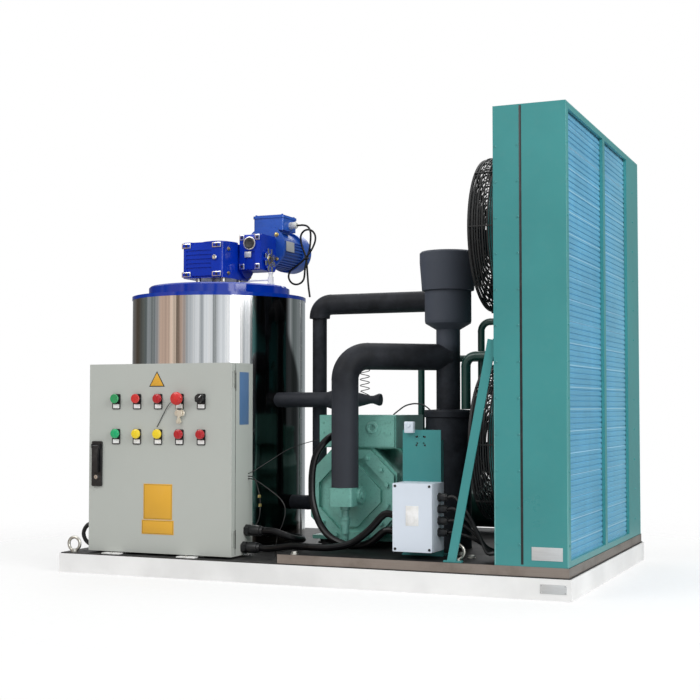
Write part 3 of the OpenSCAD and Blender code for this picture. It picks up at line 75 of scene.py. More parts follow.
def srgb(red: float, green: float, blue: float) -> Triple:
    """Turn an 8-bit display colour into a linear one.

    Args:
        red: Red, 0 to 255.
        green: Green, 0 to 255.
        blue: Blue, 0 to 255.

    Returns:
        The linear colour.
    """
    values = [v / 255.0 for v in (red, green, blue)]
    linear = [v / 12.92 if v <= 0.04045 else ((v + 0.055) / 1.055) ** 2.4 for v in values]
    return (linear[0], linear[1], linear[2])


def tinted(colour: Triple, factor: float) -> Triple:
    """Return a colour made lighter or darker by a factor, kept at or under white."""
    red, green, blue = [min(1.0, v * factor) for v in colour]
    return (red, green, blue)


def smooth_route(points: Sequence[Triple], steps: int) -> list[Vector]:
    """Run a smooth curve through points, as the part's own source does.

    Args:
        points: The points of the route.
        steps: Short straight pieces between each two points.

    Returns:
        The points of the curve.
    """
    knots = [Vector(p) for p in points]
    last = len(knots) - 1
    curve = []
    for i in range(last):
        a, b = knots[max(i - 1, 0)], knots[i]
        c, d = knots[i + 1], knots[min(i + 2, last)]
        for j in range(steps):
            t = j / steps
            bend = (2 * a - 5 * b + 4 * c - d) * t * t + (3 * b - a - 3 * c + d) * t * t * t
            curve.append((2 * b + (c - a) * t + bend) / 2)
    curve.append(knots[last])
    return curve


def round_angles(count: int) -> list[float]:
    """Return evenly spaced angles of one full turn, in radians."""
    return [math.tau * i / count for i in range(count)]


def swept_curve(name: str, points: Sequence[Vector], radius: float, facets: int,
                closed: bool = False) -> bpy.types.Curve:
    """Make a curve of short straight pieces with a round section.

    Args:
        name: The curve's name.
        points: The points that it follows.
        radius: Radius of its section.
        facets: How finely the section is rounded.
        closed: Whether it is a loop.

    Returns:
        The curve.
    """
    curve = bpy.data.curves.new(name, "CURVE")
    curve.dimensions = "3D"
    spline = curve.splines.new("POLY")
    spline.points.add(len(points) - 1)
    for knot, point in zip(spline.points, points):
        knot.co = (*point, 1.0)
    spline.use_cyclic_u = closed
    curve.bevel_depth = radius
    curve.bevel_resolution = facets
    curve.use_fill_caps = not closed
    return curve


class Axis(Enum):
    """The directions that a fitting or a grain can follow."""

    X = "X"
    Y = "Y"
    Z = "Z"


class Facing(Enum):
    """The way that a fitting's head looks, as turns from +Z."""

    UP = (0.0, 0.0)
    DOWN = (180.0, 0.0)
    FRONT = (90.0, 0.0)
    BACK = (-90.0, 0.0)
    RIGHT = (0.0, 90.0)

    def matrix(self) -> Matrix:
        """Work out the turn that takes +Z to this direction.

        Returns:
            The turn.
        """
        about_x, about_y = self.value
        turn_x = Matrix.Rotation(math.radians(about_x), 4, "X")
        return turn_x @ Matrix.Rotation(math.radians(about_y), 4, "Y")


class Sock:
    """A node's socket that takes part in Python arithmetic."""

    def __init__(self, graph: "Graph", socket: bpy.types.NodeSocket) -> None:
        """Keep the graph and the socket."""
        self.graph = graph
        self.socket = socket

    def of(self, name: Union[str, int]) -> "Sock":
        """Return another output of the same node."""
        return Sock(self.graph, self.socket.node.outputs[name])

    def math(self, operation: str, left: Any, right: Any = 0.0) -> "Sock":
        """Add one Math node.

        Args:
            operation: The node's operation.
            left: Its first value or socket.
            right: Its second value or socket.

        Returns:
            The node's result.
        """
        return self.graph.node("Math", {"operation": operation}, {0: left, 1: right})

    def __add__(self, other: Any) -> "Sock":
        """Return the sum."""
        return self.math("ADD", self, other)

    def __radd__(self, other: Any) -> "Sock":
        """Return the sum, with the value on the left."""
        return self.math("ADD", other, self)

    def __sub__(self, other: Any) -> "Sock":
        """Return the difference."""
        return self.math("SUBTRACT", self, other)

    def __rsub__(self, other: Any) -> "Sock":
        """Return the difference from a value on the left."""
        return self.math("SUBTRACT", other, self)

    def __mul__(self, other: Any) -> "Sock":
        """Return the product."""
        return self.math("MULTIPLY", self, other)

    def __rmul__(self, other: Any) -> "Sock":
        """Return the product, with the value on the left."""
        return self.math("MULTIPLY", other, self)

    def __truediv__(self, other: Any) -> "Sock":
        """Return the quotient."""
        return self.math("DIVIDE", self, other)

    def __rtruediv__(self, other: Any) -> "Sock":
        """Return the quotient of a value on the left."""
        return self.math("DIVIDE", other, self)

    def __gt__(self, other: Any) -> "Sock":
        """Return 1 where this is over the other value."""
        return self.math("GREATER_THAN", self, other)

    def __lt__(self, other: Any) -> "Sock":
        """Return 1 where this is under the other value."""
        return self.math("LESS_THAN", self, other)


class Graph:
    """A node tree and the few ways in which nodes are added to it."""

    def __init__(self, tree: bpy.types.NodeTree) -> None:
        """Keep the tree and empty it."""
        self.tree = tree
        tree.nodes.clear()

    def node(self, kind: str, settings: dict[str, Any], inputs: dict[Any, Any], out: Any = 0) -> Sock:
        """Add a node of any type.

        Args:
            kind: The node's type, without its common prefix.
            settings: Its settings, set first; "stops" fills a colour ramp.
            inputs: Values or sockets for its inputs.
            out: The output that is wanted.

        Returns:
            That output, or the first input of a node with no output.
        """
        made = self.tree.nodes.new("ShaderNode" + kind)
        for key, value in settings.items():
            if key == "stops":
                self._set_stops(made.color_ramp, value)
            else:
                setattr(made, key, value)
        for key, value in inputs.items():
            socket = made.inputs[key]
            if isinstance(value, Sock):
                self.tree.links.new(value.socket, socket)
            elif socket.type == "RGBA" and len(value) == 3:
                socket.default_value = (*value, 1.0)
            else:
                socket.default_value = value
        return Sock(self, made.outputs[out] if made.outputs else made.inputs[0])

    def _set_stops(self, ramp: bpy.types.ColorRamp, stops: Sequence[tuple[float, Triple]]) -> None:
        """Fill a colour ramp with its stops.

        Args:
            ramp: The ramp, which has two stops when new.
            stops: Place and colour of each stop, in order.
        """
        for place, _ in stops[2:]:
            ramp.elements.new(place)
        for element, (place, colour) in zip(ramp.elements, stops):
            element.position = place
            element.color = (*colour, 1.0)

    def place(self) -> Sock:
        """Return the place on the object."""
        return self.node("TexCoord", {}, {}, "Object")

    def axis(self, where: Sock, axis: Axis) -> Sock:
        """Return one coordinate of a vector."""
        return self.node("SeparateXYZ", {}, {0: where}, axis.value)

    def stretched(self, where: Sock, scale: Triple) -> Sock:
        """Return a place stretched along each axis."""
        return self.node("VectorMath", {"operation": "MULTIPLY"}, {0: where, 1: scale})

    def vector(self, x: Any, y: Any, z: Any) -> Sock:
        """Return a vector of three values or sockets."""
        return self.node("CombineXYZ", {}, {0: x, 1: y, 2: z})

    def noise(self, where: Sock, scale: float, detail: float = 3.0, rough: float = 0.5) -> Sock:
        """Add a noise texture.

        Args:
            where: The place that it is read at.
            scale: Its scale, per metre.
            detail: How many finer layers it has.
            rough: How strong the finer layers are.

        Returns:
            A value around one half.
        """
        inputs = {"Vector": where, "Scale": scale, "Detail": detail, "Roughness": rough}
        return self.node("TexNoise", {}, inputs)

    def band(self, value: Sock, low: float, high: float) -> Sock:
        """Return a soft step from 0 at low to 1 at high."""
        settings = {"interpolation_type": "SMOOTHSTEP", "clamp": True}
        return self.node("MapRange", settings, {"Value": value, "From Min": low, "From Max": high})

    def blend(self, share: Any, first: Any, second: Any) -> Sock:
        """Return a mix of two colours."""
        settings = {"data_type": "RGBA", "clamp_factor": True}
        return self.node("Mix", settings, {0: share, 6: first, 7: second}, 2)

    def mottle(self, value: Sock, colour: Triple, dark: float, light: float, low: float = 0.3,
               high: float = 0.7) -> Sock:
        """Return a colour that goes from darker to lighter as a noise rises.

        Args:
            value: The noise.
            colour: The colour that is varied.
            dark: The colour's factor where the noise is low.
            light: Its factor where the noise is high.
            low: The noise at which the change starts.
            high: The noise at which it ends.

        Returns:
            The varied colour.
        """
        return self.blend(self.band(value, low, high), tinted(colour, dark), tinted(colour, light))

    def bump(self, height: Sock, strength: float, depth: float, under: Union[Sock, None] = None) -> Sock:
        """Add a Bump node.

        Args:
            height: The height, 0 to 1.
            strength: The node's strength.
            depth: The real depth, in metres.
            under: Another bump that this one lies on.

        Returns:
            The bent normal.
        """
        inputs: dict[Any, Any] = {"Strength": strength, "Distance": depth, "Height": height}
        if under is not None:
            inputs["Normal"] = under
        return self.node("Bump", {}, inputs)

    def surface(self, inputs: dict[str, Any]) -> None:
        """Add the shader and the output of a surface.

        Args:
            inputs: Values or sockets of the shader.
        """
        shader = self.node("BsdfPrincipled", {}, inputs)
        self.node("OutputMaterial", {}, {"Surface": shader})


@dataclass(frozen=True)
class Finish:
    """A surface finish with its own material."""

    name: str
    made: ClassVar[dict[str, bpy.types.Material]] = {}

    def material(self) -> bpy.types.Material:
        """Make the finish's material, once.

        Returns:
            The material.
        """
        if self.name not in Finish.made:
            material = bpy.data.materials.new("finish_" + self.name)
            material.use_nodes = True
            self.mix(Graph(material.node_tree))
            Finish.made[self.name] = material
        return Finish.made[self.name]

    def mix(self, graph: Graph) -> None:
        """Build the finish's nodes; each kind of finish has its own."""
        raise NotImplementedError


@dataclass(frozen=True)
class Paint(Finish):
    """Sprayed paint with faint clouds, orange peel, settled dust and small chips."""

    colour: Triple = (0.8, 0.8, 0.8)
    rough: float = 0.32
    coat: float = 0.0
    cloud: float = 0.06
    peel: float = 0.08
    peel_scale: float = 420.0
    dust: float = 0.14
    chips: float = 0.0
    under: Triple = (0.32, 0.31, 0.3)
    gloss: float = 1.5
    sheen: float = 0.5
    dust_colour: ClassVar[Triple] = srgb(168, 163, 152)
    peel_depth: ClassVar[float] = 0.0006
    coat_rough: ClassVar[float] = 0.05

    def mix(self, graph: Graph) -> None:
        """Build the paint's nodes.

        Args:
            graph: The graph that gets the nodes.
        """
        where = graph.place()
        cloud = graph.noise(where, scale=4.5, detail=4.0)
        shade = graph.mottle(cloud, self.colour, 1.0 - 1.6 * self.cloud, 1.0 + self.cloud)
        up = graph.axis(where.of("Normal"), Axis.Z)
        settled = graph.band(up, 0.3, 0.95) * 0.75 + 0.25
        specks = graph.band(graph.noise(where, scale=34.0, detail=6.0, rough=0.65), 0.46, 0.74)
        dusty = specks * settled * self.dust
        shade = graph.blend(dusty, shade, self.dust_colour)
        if self.chips > 0.0:
            flakes = graph.noise(where, scale=70.0, detail=7.0, rough=0.7)
            shade = graph.blend(graph.band(flakes, 0.70, 0.73) * self.chips, shade, self.under)
        peel = graph.noise(where, scale=self.peel_scale, detail=2.0)
        inputs: dict[str, Any] = {"Base Color": shade}
        inputs["Roughness"] = cloud * 0.14 + (self.rough - 0.07) + dusty * 0.35
        inputs["Normal"] = graph.bump(peel, self.peel, self.peel_depth)
        inputs["Coat Weight"] = self.coat
        inputs["Coat Roughness"] = self.coat_rough
        inputs["Coat IOR"] = self.gloss
        inputs["Specular IOR Level"] = self.sheen
        graph.surface(inputs)


@dataclass(frozen=True)
class CastPaint(Paint):
    """Paint over a sand casting, with its pebbled skin and painted shade in the pebbles' hollows."""

    pebble: float = 0.35
    pebble_scale: float = 160.0
    dust_colour: ClassVar[Triple] = srgb(165, 160, 150)
    pebble_depth: ClassVar[float] = 0.0012
    coat_rough: ClassVar[float] = 0.1

    def mix(self, graph: Graph) -> None:
        """Build the painted casting's nodes.

        Args:
            graph: The graph that gets the nodes.
        """
        where = graph.place()
        cloud = graph.noise(where, scale=7.0, detail=5.0)
        pebble = graph.noise(where, scale=self.pebble_scale, detail=3.0, rough=0.6)
        shade = graph.mottle(cloud, self.colour, 1.0 - 1.8 * self.cloud, 1.0 + self.cloud)
        # Painted shade: the colour is darkened in the pebbles' hollows.
        hollow = graph.band(pebble, 0.50, 0.28) * 0.35
        shade = graph.blend(hollow, shade, tinted(self.colour, 0.5))
        up = graph.axis(where.of("Normal"), Axis.Z)
        specks = graph.band(graph.noise(where, scale=24.0, detail=6.0), 0.42, 0.7)
        dusty = graph.band(up, 0.2, 0.95) * specks * self.dust
        shade = graph.blend(dusty, shade, self.dust_colour)
        inputs: dict[str, Any] = {"Base Color": shade}
        inputs["Roughness"] = pebble * 0.2 + (self.rough - 0.1) + dusty * 0.3
        inputs["Normal"] = graph.bump(pebble, self.pebble, self.pebble_depth)
        inputs["Specular IOR Level"] = self.sheen
        inputs["Coat Weight"] = self.coat
        inputs["Coat Roughness"] = self.coat_rough
        graph.surface(inputs)


@dataclass(frozen=True)
class CabinetPaint(Paint):
    """Fine textured powder coat, white below the cabinet's floor."""

    foot_top: float = 0.0698
    foot: Triple = (0.8, 0.8, 0.8)
    peel_depth: ClassVar[float] = 0.0005

    def mix(self, graph: Graph) -> None:
        """Build the powder coat's nodes.

        Args:
            graph: The graph that gets the nodes.
        """
        where = graph.place()
        height = graph.axis(where, Axis.Z)
        cloud = graph.noise(where, scale=3.0, detail=4.0)
        shade = graph.mottle(cloud, self.colour, 1.0 - self.cloud, 1.0 + self.cloud)
        smudge = graph.band(graph.noise(where, scale=16.0, detail=6.0, rough=0.7), 0.55, 0.8) * self.dust
        shade = graph.blend(smudge, shade, tinted(self.colour, 0.82))
        shade = graph.blend(height < self.foot_top, shade, self.foot)
        grain = graph.noise(where, scale=self.peel_scale, detail=2.0, rough=0.6)
        inputs: dict[str, Any] = {"Base Color": shade}
        inputs["Roughness"] = grain * 0.16 + (self.rough - 0.08) + smudge * 0.2
        inputs["Normal"] = graph.bump(grain, self.peel, self.peel_depth)
        graph.surface(inputs)


@dataclass(frozen=True)
class Metal(Finish):
    """Bare metal with a directional grain and light tarnish."""

    colour: Triple = (0.6, 0.6, 0.6)
    rough: float = 0.28
    grain: Triple = (30.0, 30.0, 900.0)
    grain_depth: float = 0.12
    tarnish: float = 0.25
    stain: Triple = (0.2, 0.17, 0.13)
    metallic: float = 1.0
    stain_from: ClassVar[float] = 0.45
    scratch_depth: ClassVar[float] = 0.0003

    def mix(self, graph: Graph) -> None:
        """Build the metal's nodes.

        Args:
            graph: The graph that gets the nodes.
        """
        shade, lines, stained = self.bare(graph, graph.place())
        inputs: dict[str, Any] = {"Base Color": shade, "Metallic": self.metallic}
        inputs["Roughness"] = lines * 0.14 + (self.rough - 0.07) + stained * 0.3
        inputs["Normal"] = graph.bump(lines, self.grain_depth, self.scratch_depth)
        graph.surface(inputs)

    def bare(self, graph: Graph, where: Sock) -> tuple[Sock, Sock, Sock]:
        """Add the grain and the stains of bare metal.

        Args:
            graph: The graph that gets the nodes.
            where: The place on the object.

        Returns:
            The colour, the lines of the grain and the share of stain.
        """
        lines = graph.noise(graph.stretched(where, self.grain), scale=1.0, detail=3.0, rough=0.6)
        cloud = graph.noise(where, scale=9.0, detail=5.0, rough=0.6)
        shade = graph.blend(lines, tinted(self.colour, 0.86), tinted(self.colour, 1.1))
        stained = graph.band(cloud, self.stain_from, 0.75) * self.tarnish
        return graph.blend(stained, shade, self.stain), lines, stained


@dataclass(frozen=True)
class TraySheet(Metal):
    """Folded sheet with a bare lip, dark on its upward faces."""

    top: Triple = (0.015, 0.015, 0.015)
    stain_from: ClassVar[float] = 0.42
    dust_colour: ClassVar[Triple] = srgb(120, 114, 104)

    def mix(self, graph: Graph) -> None:
        """Build the tray's nodes.

        Args:
            graph: The graph that gets the nodes.
        """
        where = graph.place()
        up = graph.band(graph.axis(where.of("Normal"), Axis.Z), 0.7, 0.95)
        bare, lines, stained = self.bare(graph, where)
        dusty = graph.band(graph.noise(where, scale=30.0, detail=6.0, rough=0.65), 0.48, 0.76) * 0.12
        # The upward faces are dark, with a little dust.
        painted = graph.blend(dusty, self.top, self.dust_colour)
        inputs: dict[str, Any] = {"Base Color": graph.blend(up, bare, painted)}
        inputs["Metallic"] = (1.0 - up) * 0.7
        inputs["Specular IOR Level"] = 0.2
        inputs["Roughness"] = lines * 0.14 + (self.rough - 0.07) + up * 0.22 + stained * 0.2
        inputs["Normal"] = graph.bump(lines, self.grain_depth, self.scratch_depth)
        graph.surface(inputs)


@dataclass(frozen=True)
class MirrorJacket(Finish):
    """Polished stainless sheet rolled round the drum, with its upright waves, fine polish lines and streaks
    of tone; warm streaks and a dark band down its right side are painted reflections.
    """

    colour: Triple = (0.86, 0.86, 0.86)
    centre: Pair = (-0.518, -0.060)
    wave: float = 0.4
    wave_depth: float = 0.003
    # Colours of the painted reflections: warm streaks, and a dark band whose lean widens it towards the
    # bottom.
    painted_warm_reflection_colour: Triple = srgb(226, 214, 202)
    painted_dark_reflection_colour: Triple = srgb(40, 41, 41)
    painted_dark_reflection_lean: float = 0.24

    def mix(self, graph: Graph) -> None:
        """Build the jacket's nodes; angles run from the drum's front to its right, in radians.

        Args:
            graph: The graph that gets the nodes.
        """
        where = graph.place()
        across = graph.axis(where, Axis.X) - self.centre[0]
        deep = self.centre[1] - graph.axis(where, Axis.Y)
        height = graph.axis(where, Axis.Z)
        angle = across.math("ARCTAN2", across, deep)
        wave = graph.noise(graph.vector(angle * 5.5, height * 0.16, 0.0), 1.0, detail=3.0, rough=0.55)
        streak = graph.noise(graph.vector(angle * 17.0, height * 0.10, 3.0), 1.0, detail=4.0, rough=0.6)
        polish = graph.noise(graph.vector(angle * 260.0, height * 2.0, 7.0), 1.0, detail=2.0, rough=0.6)
        # Upright streaks of tone in the sheet; the warm tint on some of them is a painted reflection.
        shade = graph.mottle(streak, self.colour, 0.8, 1.1, low=0.34, high=0.62)
        shade = graph.blend(graph.band(streak, 0.42, 0.66) * 0.3, shade, self.painted_warm_reflection_colour)
        # Painted dark reflection: a dark band down the drum's right side, wider towards the bottom.
        edge = angle + graph.band(height, 0.6, 0.8) * self.painted_dark_reflection_lean
        painted_dark_reflection = graph.band(angle, 0.86, 0.94) * graph.band(edge, 1.68, 1.58)
        shade = graph.blend(painted_dark_reflection * 0.95, shade, self.painted_dark_reflection_colour)
        bent = graph.bump(wave, self.wave, self.wave_depth)
        bent = graph.bump(polish, 0.05, 0.0003, bent)
        inputs: dict[str, Any] = {"Base Color": shade, "Metallic": 1.0, "Normal": bent}
        inputs["Roughness"] = polish * 0.06 + streak * 0.07 + 0.03
        graph.surface(inputs)


@dataclass(frozen=True)
class Sleeve(Finish):
    """Closed-cell foam with its skin, dents and scuffs; painted shade and light follow the dents, and
    painted light lies on its head or foot where that is asked.
    """

    colour: Triple = (0.02, 0.02, 0.022)
    rough: float = 0.62
    painted_light_head: float = 0.0
    painted_light_foot: float = 0.0
    sheen: ClassVar[float] = 0.2

    def mix(self, graph: Graph) -> None:
        """Build the sleeve's nodes.

        Args:
            graph: The graph that gets the nodes.
        """
        where = graph.place()
        height = graph.axis(where, Axis.Z)
        # Painted light: the head, from 0.7 m up, and the foot, from 0.66 m down, are lightened where asked.
        head = graph.band(height, 0.7, 0.74) * self.painted_light_head
        foot = graph.band(height, 0.66, 0.5) * self.painted_light_foot
        cells = graph.noise(where, scale=900.0, detail=2.0)
        dents = graph.noise(where, scale=16.0, detail=4.0, rough=0.6)
        scuffs = graph.band(graph.noise(where, scale=26.0, detail=7.0, rough=0.7), 0.52, 0.76)
        # Painted shade and light: the colour follows the dents, darker in their hollows and lighter on
        # their rises.
        shade = graph.mottle(dents, self.colour, 0.7, 1.5, low=0.32, high=0.68)
        shade = graph.blend(scuffs * 0.16, shade, tinted(self.colour, 3.2))
        shade = graph.blend(head, shade, tinted(self.colour, 3.7))
        shade = graph.blend(foot, shade, tinted(self.colour, 2.3))
        bent = graph.bump(dents, 0.3, 0.004)
        bent = graph.bump(cells, 0.16, 0.0005, bent)
        inputs: dict[str, Any] = {"Base Color": shade, "Normal": bent, "Specular IOR Level": self.sheen}
        inputs["Roughness"] = cells * 0.14 + (self.rough - 0.1) + scuffs * 0.12
        graph.surface(inputs)


@dataclass(frozen=True)
class Plastic(Finish):
    """Moulded plastic or rubber with a fine moulded skin."""

    colour: Triple = (0.02, 0.02, 0.02)
    rough: float = 0.42
    coat: float = 0.0
    skin: float = 0.1
    dust: float = 0.12
    sheen: float = 0.5
    dust_colour: ClassVar[Triple] = srgb(150, 147, 140)
    skin_scale: ClassVar[float] = 1400.0
    skin_depth: ClassVar[float] = 0.0003

    def mix(self, graph: Graph) -> None:
        """Build the plastic's nodes.

        Args:
            graph: The graph that gets the nodes.
        """
        where = graph.place()
        skin = graph.noise(where, self.skin_scale, detail=2.0)
        cloud = graph.noise(where, scale=30.0, detail=5.0, rough=0.6)
        shade = graph.mottle(cloud, self.colour, 0.85, 1.15)
        dusty = graph.band(cloud, 0.5, 0.78) * self.dust
        shade = graph.blend(dusty, shade, self.dust_colour)
        inputs: dict[str, Any] = {"Base Color": shade}
        inputs["Roughness"] = cloud * 0.14 + (self.rough - 0.07) + dusty * 0.3
        inputs["Normal"] = graph.bump(skin, self.skin, self.skin_depth)
        inputs["Specular IOR Level"] = self.sheen
        inputs["Coat Weight"] = self.coat
        inputs["Coat Roughness"] = 0.05
        graph.surface(inputs)


@dataclass(frozen=True)
class GlandPlastic(Plastic):
    """Moulded glands: black below, white on the motor."""

    upper: Triple = (0.8, 0.8, 0.78)
    split: float = 1.0

    def mix(self, graph: Graph) -> None:
        """Build the glands' nodes.

        Args:
            graph: The graph that gets the nodes.
        """
        where = graph.place()
        skin = graph.noise(where, self.skin_scale, detail=2.0)
        cloud = graph.noise(where, scale=30.0, detail=5.0, rough=0.6)
        shade = graph.blend(graph.axis(where, Axis.Z) > self.split, self.colour, self.upper)
        shade = graph.blend(graph.band(cloud, 0.5, 0.78) * self.dust, shade, self.dust_colour)
        inputs: dict[str, Any] = {"Base Color": shade}
        inputs["Roughness"] = cloud * 0.14 + (self.rough - 0.07)
        inputs["Normal"] = graph.bump(skin, self.skin, self.skin_depth)
        graph.surface(inputs)


@dataclass(frozen=True)
class LampLens(Finish):
    """Ribbed lamp lenses; the colour follows each lamp's place on the door."""

    red: Triple = (0.5, 0.01, 0.01)
    yellow: Triple = (0.7, 0.5, 0.01)
    green: Triple = (0.01, 0.35, 0.12)
    first_yellow: float = -0.61
    first_red: float = -0.455
    upper_row: float = 0.5
    glow: float = 0.22

    def mix(self, graph: Graph) -> None:
        """Build the lenses' nodes.

        Args:
            graph: The graph that gets the nodes.
        """
        where = graph.place()
        across = graph.axis(where, Axis.X)
        height = graph.axis(where, Axis.Z)
        shade = graph.blend(across > self.first_yellow, self.green, self.yellow)
        shade = graph.blend(across > self.first_red, shade, self.red)
        shade = graph.blend(height > self.upper_row, shade, self.red)
        wave = {"Vector": where, "Scale": 160.0, "Detail": 0.0}
        ribs = graph.node("TexWave", {"bands_direction": "Z"}, wave, 1)
        cloud = graph.noise(where, scale=60.0)
        inputs: dict[str, Any] = {"Base Color": shade, "Emission Color": shade}
        inputs["Roughness"] = cloud * 0.1 + 0.1
        inputs["Normal"] = graph.bump(ribs, 0.18, 0.0004)
        inputs["Emission Strength"] = self.glow
        inputs["Coat Weight"] = 0.5
        inputs["Coat Roughness"] = 0.04
        graph.surface(inputs)


@dataclass(frozen=True)
class FinPack(Finish):
    """Coated condenser fins on edge, with painted shade between the fins, pale lines along the rows of
    tubes that are painted highlights, and painted light towards the rear.
    """

    colour: Triple = (0.1, 0.35, 0.58)
    fin_pitch: float = 0.0044
    row_pitch: float = 0.062
    # Colours of the painted light towards the rear and of the painted highlights on the tube rows.
    painted_light_panel_colour: Triple = srgb(168, 224, 240)
    painted_row_highlight_colour: Triple = srgb(190, 226, 240)

    def mix(self, graph: Graph) -> None:
        """Build the fins' nodes.

        Args:
            graph: The graph that gets the nodes.
        """
        where = graph.place()
        height = graph.axis(where, Axis.Z)
        fin = height.math("PINGPONG", height, self.fin_pitch / 2) / (self.fin_pitch / 2)
        row = height.math("PINGPONG", height, self.row_pitch / 2) / (self.row_pitch / 2)
        cloud = graph.noise(where, scale=5.0, detail=5.0, rough=0.6)
        streak = graph.noise(graph.stretched(where, (1.0, 26.0, 1.5)), 1.0, detail=4.0, rough=0.6)
        shade = graph.mottle(cloud, self.colour, 0.9, 1.08)
        shade = graph.blend(graph.band(streak, 0.4, 0.7) * 0.2, shade, tinted(self.colour, 0.7))
        # Painted light: the face is lightened towards the rear, +Y.
        far = graph.band(graph.axis(where, Axis.Y), -0.1, 0.5) * 0.35
        shade = graph.blend(far, shade, self.painted_light_panel_colour)
        # Painted shade between the fins.
        shade = graph.blend(graph.band(fin, 0.5, 0.1) * 0.34, shade, tinted(self.colour, 0.4))
        # Painted highlights: pale lines along the rows of tubes.
        shade = graph.blend(graph.band(row, 0.94, 0.99) * 0.7, shade, self.painted_row_highlight_colour)
        inputs: dict[str, Any] = {"Base Color": shade, "Metallic": 0.2}
        inputs["Roughness"] = cloud * 0.16 + 0.34
        inputs["Normal"] = graph.bump(fin, 0.25, 0.001)
        graph.surface(inputs)


@dataclass(frozen=True)
class SwitchGear(Finish):
    """The cabinet's devices: pale ducts and breakers, dark contactors and grey terminals."""

    pale: Triple = (0.6, 0.6, 0.57)
    dark: Triple = srgb(52, 55, 58)
    grey: Triple = srgb(134, 138, 140)
    contactor_row: Pair = (0.345, 0.45)
    contactor_back: float = -0.415
    terminal_top: float = 0.25

    def mix(self, graph: Graph) -> None:
        """Build the devices' nodes.

        Args:
            graph: The graph that gets the nodes.
        """
        where = graph.place()
        height = graph.axis(where, Axis.Z)
        deep = graph.axis(where, Axis.Y)
        low, high = self.contactor_row
        contactors = (height > low) * (height < high) * (deep < self.contactor_back)
        cloud = graph.noise(where, scale=40.0, detail=4.0)
        shade = graph.mottle(cloud, self.pale, 0.9, 1.0)
        shade = graph.blend(contactors, shade, self.dark)
        shade = graph.blend(height < self.terminal_top, shade, self.grey)
        skin = graph.noise(where, scale=1200.0, detail=2.0)
        inputs: dict[str, Any] = {"Base Color": shade, "Roughness": cloud * 0.2 + 0.38}
        inputs["Normal"] = graph.bump(skin, 0.08, 0.0003)
        graph.surface(inputs)


